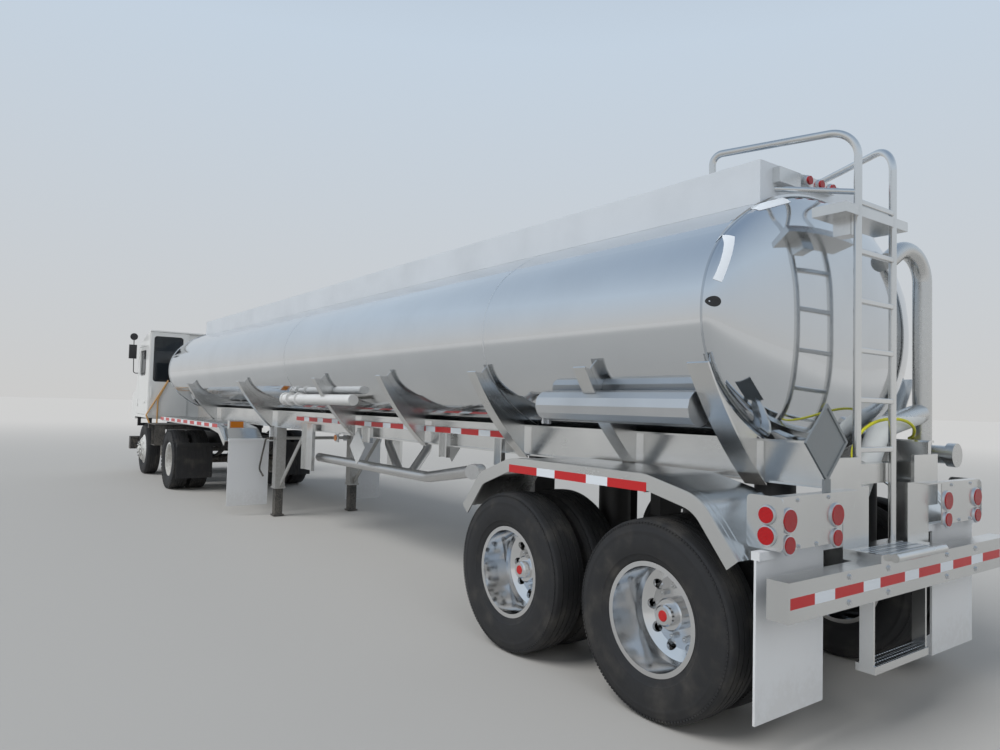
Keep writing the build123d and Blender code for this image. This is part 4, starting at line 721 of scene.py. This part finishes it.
def add_lathe(mesh: bmesh.types.BMesh, section: Sequence[Pair], centre: Point, axis: Vector,
              start: Vector, steps: int) -> None:
    """Turns a closed section round an axis.

    Args:
        mesh: where it goes.
        section: places along the axis from the centre, with their radii.
        centre: a point of the axis.
        axis: the axis's direction.
        start: direction of the first step, square to the axis.
        steps: steps round the axis.
    """
    rings = []
    for step in range(steps):
        angle = 2 * math.pi * step / steps
        out = start * math.cos(angle) + axis.cross(start) * math.sin(angle)
        rings.append([mesh.verts.new(Vector(centre) + out * radius + axis * along)
                      for along, radius in section])
    bridge(mesh, rings, ring=True, closed=True)


# Wheels


@dataclass(frozen=True)
class Shoulder:
    """The blocks round one shoulder of a tyre."""

    count: int
    offset: float
    size: Point
    radius: float


class Tread(Enum):
    """The two kinds of tread, each with its shoulder blocks."""

    RIB = Shoulder(150, 0.1145, (0.010, 0.017, 0.013), 0.4995)
    LUG = Shoulder(46, 0.108, (0.030, 0.042, 0.046), 0.5025)


@dataclass
class Tyre:
    """One tyre: a turned carcass with grooves, and shoulder blocks round it."""

    centre: Point
    tread: Tread
    radius: float = 0.523
    half_width: float = 0.134
    bead_radius: float = 0.2866
    groove: float = 0.011
    groove_half: float = 0.0045
    # Width of a groove's floor as a share of its width at the tread
    groove_floor: float = 0.6
    groove_places: tuple[float, ...] = (0.062, 0.021, -0.021, -0.062)
    # The tread is lower by crown_drop at crown_half from its middle
    crown_drop: float = 0.0045
    crown_half: float = 0.1
    segments: int = 112

    def outline(self) -> list[Pair]:
        """The closed section, from one bead over the tread to the other.

        Returns:
            Places along the axle with their radii.
        """
        flank = [(0.093, self.bead_radius), (0.096, 0.296), (0.108, 0.304), (0.113, 0.312), (0.115, 0.322),
                 (0.124, 0.336), (0.1262, 0.338), (0.1285, 0.352), (0.1292, 0.354), (0.1332, 0.38),
                 (self.half_width, 0.405), (0.1325, 0.43), (0.1295, 0.448), (0.1302, 0.450), (0.1290, 0.462),
                 (0.1278, 0.464), (0.1248, 0.482), (0.1210, 0.492), (0.1160, 0.503), (0.1080, 0.5135),
                 (0.1010, 0.5175)]
        crown = []
        floor_half = self.groove_half * self.groove_floor
        for place in self.groove_places:
            top = self.radius - self.crown_drop * (place / self.crown_half) ** 2
            crown += [(place + self.groove_half, top), (place + floor_half, top - self.groove),
                      (place - floor_half, top - self.groove), (place - self.groove_half, top)]
        return flank + crown + [(-y, r) for y, r in reversed(flank)]

    def add(self, mesh: bmesh.types.BMesh) -> None:
        """Adds the tyre, with the blocks of both shoulders.

        Args:
            mesh: where it goes.
        """
        add_lathe(mesh, self.outline(), self.centre, Vector((0, 1, 0)), Vector((0, 0, 1)), self.segments)
        blocks = Repeat(Solid.BLOCK, Layout.RING)
        shoulder = self.tread.value
        x, y, z = self.centre
        for side in (-1, 1):
            blocks.into(mesh, shoulder.count, (x, y + side * shoulder.offset, z), shoulder.size, Finish.TYRE,
                        shoulder.radius)


@dataclass
class WheelSet:
    """The wheels of one body: its tyres, the nuts on its face and, on the trailer, the hub's red plug."""

    body: str
    station: float
    side: int
    face: float
    tyre_places: tuple[float, ...]
    tread: Tread
    plug: float = 0.0
    axle_height: float = 0.523
    nut_circle: float = 0.1429
    nuts: int = 10
    # Nuts and the domes on them. Columns: solid, distance off the face, size
    fittings: tuple[tuple[Solid, float, Point], ...] = (
        (Solid.HEX, 0.014, (0.036, 0.026, 0.036)), (Solid.DOME, 0.027, (0.022, 0.016, 0.022)))
    plug_radius: float = 0.030
    plug_thick: float = 0.004
    plug_taper: float = 0.86

    def build(self) -> None:
        """Makes the tyres and the fittings."""
        nodes = [node for node in frame["record"]["behaviour"]["bodies"][self.body] if "tyre" in node]
        mesh = bmesh.new()
        for place in self.tyre_places:
            Tyre((at(self.station), self.side * place, self.axle_height), self.tread).add(mesh)
        made = piece(f"{self.body}_treads", mesh, Finish.TYRE, self.body, smooth=True)
        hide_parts(*nodes)
        self._fittings()

    def _fittings(self) -> None:
        """Nuts with domed ends round the hub, and the plug where there is one."""
        x, z = at(self.station), self.axle_height
        mesh = bmesh.new()
        for solid, seat, size in self.fittings:
            Repeat(solid, Layout.RING).into(mesh, self.nuts, (x, self.side * (self.face + seat), z), size,
                                            Finish.BRIGHT, self.nut_circle)
        piece(f"{self.body}_nuts", mesh, Finish.BRIGHT, self.body, smooth=True)
        if self.plug:
            mesh = bmesh.new()
            add_disc(mesh, (x, self.side * self.plug, z), (0.0, self.side, 0.0), self.plug_radius,
                     self.plug_thick, taper=self.plug_taper)
            piece(f"{self.body}_plug", mesh, Finish.TAPE_RED, self.body, smooth=True)


@dataclass
class Wheels:
    """All the wheel sets."""

    # Columns: first words of two bodies' names, station, tread, Y of the face, Y of the tyres, Y of the
    # plug or 0 for none
    sets: tuple[tuple[str, float, Tread, float, tuple[float, ...], float], ...] = (
        ("trailer_wheels_rear", 0.0, Tread.RIB, 0.934, (1.085, 0.755), 1.088),
        ("trailer_wheels_front", 1.25, Tread.RIB, 0.934, (1.085, 0.755), 1.088),
        ("drive_wheels", 11.36, Tread.LUG, 0.934, (1.085, 0.755), 0.0),
        ("steer_wheel", 14.31, Tread.RIB, 1.156, (0.965,), 0.0))

    def build(self) -> None:
        """Makes every wheel set."""
        for words, station, tread, face, places, plug in self.sets:
            for name, side in (("left", 1), ("right", -1)):
                WheelSet(f"{words}_{name}", station, side, face, places, tread, plug).build()


# The vehicle's sub-assemblies


@dataclass
class PlainNodes:
    """The CAD nodes that keep their shape and get a finish."""

    groups: dict[Finish, tuple[str, ...]] = field(default_factory=lambda: {
        Finish.POLISHED: ("tank_shell",),
        Finish.HEADS: ("tank_heads",),
        Finish.BRIGHT: ("cradles", "trailer_frame", "fenders", "bumper", "lamp_boxes", "ladder"),
        Finish.MILL: ("roof_fittings", "hose_tubes", "tube_door") + nodes_with("manhole_lid"),
        Finish.PIPING: ("product_piping",),
        Finish.DAM: ("spill_dam",),
        Finish.PIPE: ("vapour_pipe",),
        Finish.PLATE: ("placard_holders",),
        Finish.LEGS: ("landing_gear",),
        Finish.STEEL: ("upper_coupler", "trailer_axles", "suspension", "fifth_wheel", "knuckle_left",
                       "knuckle_right"),
        Finish.BLACK: ("tractor_frame", "tractor_axles", "side_boxes", "mirrors"),
        Finish.IRON: ("engine",),
        Finish.WHITE: ("cab_shell", "cab_door", "rear_door", "nose"),
        Finish.FLAP: ("mud_flaps",),
        Finish.HANDRAIL: ("deck_rails",),
        Finish.RUBBER: ("tractor_flaps",),
        Finish.SEAT: ("cab_interior",),
        Finish.GLASS: nodes_with("glass"),
        Finish.RED_LENS: ("lamps",),
        Finish.AMBER_LENS: ("amber_lamps",),
        Finish.CAB_LAMPS: ("tractor_lamps",),
        Finish.WHITE_WHEEL: nodes_with("steer_wheel", "rim") + nodes_with("drive_wheels", "rims"),
        Finish.WHEEL: nodes_with("trailer_wheels", "rims"),
        Finish.TYRE: nodes_with("tyre"),
    })

    def build(self) -> None:
        """Dresses every node."""
        for finish, nodes in self.groups.items():
            for node in nodes:
                materials = frame["nodes"][node].data.materials
                materials.clear()
                materials.append(finish.material())


@dataclass
class Tapes:
    """Reflective tape on the bumper, the frame rails and the fender edges."""

    pitch: float = 0.444
    red_length: float = 0.272
    white_length: float = 0.172
    thick: float = 0.0006
    height: float = 0.05
    # Runs on the frame rails and the front fenders. Columns: first station, Y, Z, pitch, red pieces
    runs: tuple[tuple[float, float, float, float, int], ...] = (
        (6.615, 0.6, 1.39, -pitch, 11), (8.36, 1.22, 1.232, pitch, 9))
    bumper_back: float = -0.82
    bumper_z: float = 0.79
    # Places where red and white meet: Y on the bumper, station on the rear fenders
    bumper_edges: tuple[float, ...] = (1.208, 1.015, 0.844, 0.584, 0.420, 0.163, 0.006, -0.250, -0.410,
                                       -0.656, -0.816, -1.072, -1.208)
    rear_y: float = 1.22
    rear_z: float = 1.213
    rear_edges: tuple[float, ...] = (1.218, 0.928, 0.755, 0.475, 0.301, 0.011)

    def build(self) -> None:
        """Makes one red and one white piece."""
        red, white = bmesh.new(), bmesh.new()
        row = Repeat(Solid.BLOCK, Layout.ROW)
        half = self.height / 2
        for side in (-1, 1):
            for first, y, z, pitch, count in self.runs:
                for mesh, finish, start, length, number in (
                        (red, Finish.TAPE_RED, at(first), self.red_length, count),
                        (white, Finish.TAPE_WHITE, at(first) + pitch / 2, self.white_length, count - 1)):
                    row.into(mesh, number, (start, side * (y + self.thick / 2), z),
                             (length, self.thick, self.height), finish, step=(pitch, 0.0, 0.0))
            for index, (a, b) in enumerate(zip(self.rear_edges, self.rear_edges[1:])):
                add_box(white if index % 2 else red, (at(b), side * self.rear_y, self.rear_z - half),
                        (at(a), side * (self.rear_y + self.thick), self.rear_z + half))
        for index, (a, b) in enumerate(zip(self.bumper_edges, self.bumper_edges[1:])):
            add_box(white if index % 2 else red, (at(self.bumper_back), b, self.bumper_z - half),
                    (at(self.bumper_back) - self.thick, a, self.bumper_z + half))
        piece("tapes_red", red, Finish.TAPE_RED, "trailer")
        piece("tapes_white", white, Finish.TAPE_WHITE, "trailer")


@dataclass
class LampRings:
    """Thin bezels round the lamps."""

    # Lamps on both sides. Columns: station, Y, Z, radius, whether the lamp faces the side
    pairs: tuple[tuple[float, float, float, float, bool], ...] = (
        (-0.70, 0.624, 1.125, 0.052, False), (-0.70, 0.624, 1.012, 0.040, False),
        (-0.70, 1.040, 1.125, 0.052, False), (-0.70, 1.040, 1.012, 0.040, False),
        (-0.632, 1.10, 1.147, 0.038, True), (-0.632, 1.10, 1.050, 0.042, True),
        (5.39, 0.622, 1.20, 0.036, True))
    # Clearance lamps at the top of the rear. Columns: station, Y, Z, radius
    clearance: tuple[tuple[float, float, float, float], ...] = (
        (-0.24, -0.13, 3.02, 0.026), (-0.24, 0.0, 3.02, 0.026), (-0.24, 0.13, 3.02, 0.026))
    # A bezel's section. Columns: height, outwards from the lens
    section: tuple[Pair, ...] = (
        (0.0, -0.0005), (0.011, -0.0005), (0.009, 0.006), (0.0, 0.009))
    steps: int = 40

    def build(self) -> None:
        """Makes the bezels."""
        rings = bmesh.new()
        back = Vector((-1, 0, 0))
        for side in (-1, 1):
            for station, y, z, radius, sideways in self.pairs:
                axis = Vector((0, side, 0)) if sideways else back
                self._ring(rings, (at(station), side * y, z), axis, radius)
        for station, y, z, radius in self.clearance:
            self._ring(rings, (at(station), y, z), back, radius)
        piece("lamp_rings", rings, Finish.MILL, "trailer", smooth=True)

    def _ring(self, mesh: bmesh.types.BMesh, centre: Point, axis: Vector, radius: float) -> None:
        """Adds a flat ring round a lens, lower towards its outer edge."""
        section = [(height, radius + beyond) for height, beyond in self.section]
        add_lathe(mesh, section, centre, axis, Vector((0, 0, 1)).cross(axis), self.steps)


@dataclass
class TankHeads:
    """Both dished ends, smooth enough to mirror, with the strips and the dot on the rear one."""

    # Columns: station of the rim, the way its head bulges along X
    rims: tuple[tuple[float, int], ...] = ((-0.225, -1), (12.15, 1))
    axis_z: float = 2.151
    inset: float = 0.006
    side_centre: float = 0.49
    side_radius: float = 0.60
    top_drop: float = 0.5564
    top_radius: float = 1.3414
    tangent: float = 0.4700
    depth: float = 0.203
    fullness: float = 2.6
    around: int = 160
    rings: int = 26
    # Strips on each half of the rear head. Columns: Y and Z of one end, Y and Z of the other
    strips: tuple[tuple[float, float, float, float], ...] = ((0.666, 2.752, 0.402, 2.844),
                                                             (0.905, 2.560, 1.030, 2.300))
    strip_width: float = 0.036
    strip_steps: int = 12
    strip_shares: tuple[float, ...] = (-1.0, -0.66, -0.33, 0.0, 0.33, 0.66, 1.0)
    # The dot's Y, Z and radius
    dot: Point = (1.051, 2.191, 0.028)
    dot_steps: int = 24
    lift: float = 0.0022
    slope_step: float = 0.002

    def reach(self, angle: float) -> float:
        """Distance from the tank's middle to the rim.

        Args:
            angle: from the horizontal, in radians.

        Returns:
            The distance.
        """
        across, up = abs(math.cos(angle)), abs(math.sin(angle))
        if math.atan2(up, across) < self.tangent:
            centre, radius = (self.side_centre, 0.0), self.side_radius - self.inset
        else:
            centre, radius = (0.0, -self.top_drop), self.top_radius - self.inset
        along = centre[0] * across + centre[1] * up
        return along + math.sqrt(along * along - centre[0] ** 2 - centre[1] ** 2 + radius * radius)

    def bulge(self, y: float, z: float) -> float:
        """How far a head stands out from its rim.

        Args:
            y: the place's Y.
            z: the place's Z.

        Returns:
            The distance along X.
        """
        rise = z - self.axis_z
        share = min(1.0, math.hypot(y, rise) / self.reach(math.atan2(rise, y)))
        return self.depth * math.sqrt(max(0.0, 1.0 - share ** self.fullness))

    def on_rear(self, y: float, z: float) -> Vector:
        """A point just off the rear head, along the face's own direction.

        Args:
            y: the place's Y.
            z: the place's Z.

        Returns:
            The point.
        """
        step = self.slope_step
        slope = Vector((1.0, (self.bulge(y + step, z) - self.bulge(y - step, z)) / (2 * step),
                        (self.bulge(y, z + step) - self.bulge(y, z - step)) / (2 * step)))
        face = Vector((at(self.rims[0][0]) - self.bulge(y, z), y, z))
        return face - slope.normalized() * self.lift

    def build(self) -> None:
        """Makes the heads, the strips and the dot."""
        mesh = bmesh.new()
        for station, way in self.rims:
            self._head(mesh, station, way)
        heads = piece("dished_heads", mesh, Finish.HEADS, "trailer", smooth=True)
        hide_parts("tank_heads")
        white, black = bmesh.new(), bmesh.new()
        for side in (-1, 1):
            for y0, z0, y1, z1 in self.strips:
                self._strip(white, Vector((side * y0, z0)), Vector((side * y1, z1)))
        self._dot(black)
        for sheet in (white, black):
            back = bmesh.ops.extrude_face_region(sheet, geom=sheet.faces[:], use_keep_orig=True)["geom"]
            bmesh.ops.translate(sheet, vec=(self.lift, 0.0, 0.0),
                                verts=[part for part in back if isinstance(part, bmesh.types.BMVert)])
        piece("head_strips", white, Finish.TAPE_WHITE, "trailer")
        piece("head_dot", black, Finish.RUBBER, "trailer")

    def _head(self, mesh: bmesh.types.BMesh, station: float, way: int) -> None:
        """Adds one head: rings that shrink towards its crown, closed inside the rim.

        Args:
            mesh: where it goes.
            station: station of the rim.
            way: 1 where the head bulges forward, -1 where it bulges to the rear.
        """
        loops = []
        for ring in range(self.rings):
            turn = math.pi / 2 * ring / self.rings
            share = math.cos(turn) ** (2 / self.fullness)
            out = way * self.depth * math.sin(turn)
            loop = []
            for step in range(self.around):
                angle = 2 * math.pi * (step + 0.5) / self.around
                far = share * self.reach(angle)
                loop.append(mesh.verts.new((at(station) + out, far * math.cos(angle),
                                            self.axis_z + far * math.sin(angle))))
            loops.append(loop)
        crown = mesh.verts.new((at(station) + way * self.depth, 0.0, self.axis_z))
        bridge(mesh, loops, ring=False, closed=True)
        for step in range(self.around):
            mesh.faces.new((loops[-1][step], loops[-1][(step + 1) % self.around], crown))
        mesh.faces.new(loops[0])

    def _strip(self, mesh: bmesh.types.BMesh, start: Vector, end: Vector) -> None:
        """Adds a flat strip that follows the rear head.

        Args:
            mesh: where it goes.
            start: Y and Z of one end.
            end: Y and Z of the other.
        """
        along = end - start
        across = Vector((-along.y, along.x)).normalized() * self.strip_width / 2
        rows = []
        for step in range(self.strip_steps + 1):
            middle = start + along * step / self.strip_steps
            rows.append([mesh.verts.new(self.on_rear(*(middle + across * share)))
                         for share in self.strip_shares])
        bridge(mesh, rows, ring=False, closed=False)

    def _dot(self, mesh: bmesh.types.BMesh) -> None:
        """Adds the round black mark near the left edge.

        Args:
            mesh: where it goes.
        """
        y, z, radius = self.dot
        centre = mesh.verts.new(self.on_rear(y, z))
        rim = []
        for step in range(self.dot_steps):
            angle = 2 * math.pi * step / self.dot_steps
            place = self.on_rear(y + radius * math.cos(angle), z + radius * math.sin(angle))
            rim.append(mesh.verts.new(place))
        for step in range(self.dot_steps):
            mesh.faces.new((centre, rim[step], rim[(step + 1) % self.dot_steps]))


@dataclass
class Fasteners:
    """Bolt heads and the raised tread of the two steps."""

    # Bolts that face the rear. Columns: station of the face, Y, Z, radius
    bolts: tuple[tuple[float, float, float, float], ...] = (
        (-0.82, 0.715, 0.853, 0.011), (-0.82, 0.715, 0.733, 0.011), (-0.82, 0.335, 0.853, 0.011),
        (-0.82, 0.335, 0.733, 0.011), (-0.70, 0.950, 0.998, 0.008), (-0.70, 0.797, 0.998, 0.008),
        (-0.70, 0.690, 1.215, 0.007), (-0.70, 0.960, 1.215, 0.007))
    washer_share: float = 1.5
    washer_thick: float = 0.002
    washer_sides: int = 24
    head_height: float = 0.007
    head_taper: float = 0.94
    head_sides: int = 6
    # Treads. Columns: first station, last station, first Y, last Y, height
    treads: tuple[tuple[float, float, float, float, float], ...] = (
        (-0.808, -0.672, -0.115, 0.395, 0.923), (-0.800, -0.722, -0.115, 0.433, 0.375))
    pitch: float = 0.026
    bar: Point = (0.020, 0.007, 0.005)
    cross_bar: Point = (0.007, 0.020, 0.005)

    def build(self) -> None:
        """Makes both pieces."""
        bolts = bmesh.new()
        for station, y, z, radius in self.bolts:
            for side in (-1, 1):
                add_disc(bolts, (at(station), side * y, z), (-1.0, 0.0, 0.0), radius * self.washer_share,
                         self.washer_thick, self.washer_sides)
                add_disc(bolts, (at(station) - self.washer_thick, side * y, z), (-1.0, 0.0, 0.0), radius,
                         self.head_height, self.head_sides, self.head_taper)
        piece("rear_bolts", bolts, Finish.MILL, "trailer")
        tread = bmesh.new()
        row = Repeat(Solid.DOME, Layout.ROW)
        for rear, front, right, left, height in self.treads:
            lines = int((front - rear) / self.pitch) + 1
            count = int((left - right) / self.pitch) + 1
            for line in range(lines):
                size = self.cross_bar if line % 2 else self.bar
                row.into(tread, count, (at(rear + line * self.pitch), right, height), size, Finish.MILL,
                         step=(0.0, self.pitch, 0.0))
        piece("step_treads", tread, Finish.MILL, "trailer", smooth=True)


@dataclass
class AirHose:
    """The yellow air hose that arches from the ladder over to the vapour coupling."""

    radius: float = 0.009
    length: float = 1.54
    round_steps: int = 4
    curve_steps: int = 12
    # The hose's run. Columns: station, Y, Z
    run: tuple[Point, ...] = (
        (-0.599, 0.262, 1.375), (-0.575, 0.240, 1.400), (-0.545, 0.150, 1.480), (-0.530, 0.000, 1.560),
        (-0.530, -0.200, 1.605), (-0.535, -0.450, 1.605), (-0.525, -0.610, 1.555), (-0.465, -0.730, 1.500),
        (-0.390, -0.830, 1.480), (-0.350, -0.920, 1.480), (-0.400, -1.005, 1.450), (-0.470, -0.995, 1.410),
        (-0.500, -0.950, 1.388))

    def build(self) -> None:
        data = bpy.data.curves.new("air_hose", "CURVE")
        data.dimensions = "3D"
        data.bevel_depth = self.radius
        data.bevel_resolution = self.round_steps
        data.use_fill_caps = True
        data.resolution_u = self.curve_steps
        line = data.splines.new("NURBS")
        line.points.add(len(self.run) - 1)
        for point, (station, y, z) in zip(line.points, self.run):
            point.co = (at(station), y, z, 1.0)
        line.order_u = 3
        line.use_endpoint_u = True
        data.materials.append(Finish.HOSE.material())
        made = show("air_hose", data)
        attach(made, "trailer")
        station, y, z = self.run[0]
        LOG.info("made air_hose on trailer")


@dataclass
class Studio:
    """Floor, light and the photograph's camera."""

    camera_place: Point = (-2.6351 - MID_STATION, 4.1328, 1.6225)
    yaw: float = -0.6316
    pitch: float = 0.0427
    roll: float = 0.0256
    focal_px: float = 724.7
    frame_px: float = 1000.0
    sensor: float = 36.0
    clip_end: float = 500.0
    floor_reach: float = 400.0
    # Distances from the middle between which the floor fades into the horizon
    fade: Pair = (8.0, 45.0)
    floor_tint: Colour = (0.47, 0.455, 0.43, 1.0)
    floor_roughness: float = 0.9
    floor_specular: float = 0.1
    horizon: Colour = (0.60, 0.60, 0.595, 1.0)
    middle: Colour = (0.55, 0.64, 0.74, 1.0)
    zenith: Colour = (0.28, 0.37, 0.50, 1.0)
    light_level: float = 0.60
    # Places of the sky's three colours, from the horizon straight up
    sky_places: tuple[float, ...] = (0.0, 0.45, 0.98)
    # Lamps. Columns: name, place it shines from, angular size, strength
    lamps: tuple[tuple[str, Point, float, float], ...] = (
        ("key", (1.0, 14.0, 16.0), 0.55, 2.0), ("rear", (-14.0, 5.0, 8.0), 0.9, 0.8),
        ("right", (6.0, -14.0, 9.0), 0.9, 0.35))

    def build(self) -> None:
        """Makes the whole studio."""
        self._camera()
        self._floor()
        self._world()
        self._lamps()
        bpy.context.scene.view_settings.view_transform = "Standard"

    def _camera(self) -> None:
        """Places the camera as it was solved from the photograph."""
        forward = Vector((math.cos(self.yaw) * math.cos(self.pitch),
                          math.sin(self.yaw) * math.cos(self.pitch), math.sin(self.pitch)))
        level = forward.cross(Vector((0, 0, 1))).normalized()
        above = level.cross(forward)
        right = math.cos(self.roll) * level + math.sin(self.roll) * above
        up = -math.sin(self.roll) * level + math.cos(self.roll) * above
        data = bpy.data.cameras.new("photo_camera")
        data.lens = self.focal_px / self.frame_px * self.sensor
        data.sensor_width = self.sensor
        data.clip_end = self.clip_end
        camera = show("photo_camera", data)
        turn = Matrix((right, up, -forward)).transposed().to_4x4()
        camera.matrix_world = Matrix.Translation(self.camera_place) @ turn
        bpy.context.scene.camera = camera

    def _floor(self) -> None:
        """Lays the plain pale floor."""
        mesh = bmesh.new()
        bmesh.ops.create_grid(mesh, x_segments=1, y_segments=1, size=self.floor_reach)
        data = bpy.data.meshes.new("floor")
        mesh.to_mesh(data)
        mesh.free()
        floor = show("floor", data)
        shader = Shader("floor")
        far = (shader.axis(0).power(2.0) + shader.axis(1).power(2.0)).power(0.5).smooth(*self.fade)
        black = (0.0, 0.0, 0.0, 1.0)
        shader.set(base_color=shader.mix(far, self.floor_tint, black), roughness=self.floor_roughness,
                   specular_ior_level=self.floor_specular, emission_strength=1.0,
                   emission_color=shader.mix(far, black, self.horizon))
        data.materials.append(shader.material)

    def _world(self) -> None:
        """Pale from the horizon up for the camera, gloss and glass, softer for the light it gives."""
        world = bpy.data.worlds.new("studio")
        world.use_nodes = True
        tree = world.node_tree
        tree.nodes.clear()
        new, join = tree.nodes.new, tree.links.new
        rays = new("ShaderNodeLightPath")
        seen = rays.outputs["Is Camera Ray"]
        for kind in ("Is Glossy Ray", "Is Transmission Ray"):
            either = new("ShaderNodeMath")
            either.operation = "MAXIMUM"
            join(seen, either.inputs[0])
            join(rays.outputs[kind], either.inputs[1])
            seen = either.outputs[0]
        strength = new("ShaderNodeMapRange")
        strength.inputs["To Min"].default_value = self.light_level
        strength.inputs["To Max"].default_value = 1.0
        join(seen, strength.inputs["Value"])
        split = new("ShaderNodeSeparateXYZ")
        join(new("ShaderNodeTexCoord").outputs["Generated"], split.inputs[0])
        ramp = new("ShaderNodeValToRGB")
        stops = ramp.color_ramp.elements
        stops.new(self.sky_places[1])
        for stop, place, colour in zip(stops, self.sky_places, (self.horizon, self.middle, self.zenith)):
            stop.position, stop.color = place, colour
        join(split.outputs[2], ramp.inputs[0])
        light = new("ShaderNodeBackground")
        join(ramp.outputs[0], light.inputs["Color"])
        join(strength.outputs[0], light.inputs["Strength"])
        join(light.outputs[0], new("ShaderNodeOutputWorld").inputs[0])
        bpy.context.scene.world = world

    def _lamps(self) -> None:
        """Wide, soft and even lamps: one high on the left, a weaker one behind and one on the right."""
        for name, place, spread, power in self.lamps:
            data = bpy.data.lights.new(name, "SUN")
            data.angle = spread
            data.energy = power
            lamp = show(name, data)
            lamp.location = place
            lamp.visible_glossy = False
            lamp.rotation_euler = (-Vector(place)).to_track_quat("-Z", "Y").to_euler()


def main() -> None:
    """Builds every sub-assembly in order."""
    logging.basicConfig(level=logging.INFO, format="%(name)s: %(message)s")
    make_material_room()
    for part in (PlainNodes(), TankHeads(), Wheels(), Tapes(), LampRings(), Fasteners(), AirHose(), Studio()):
        part.build()
        LOG.info("built %s", type(part).__name__)


if __name__ == "__main__":
    main()
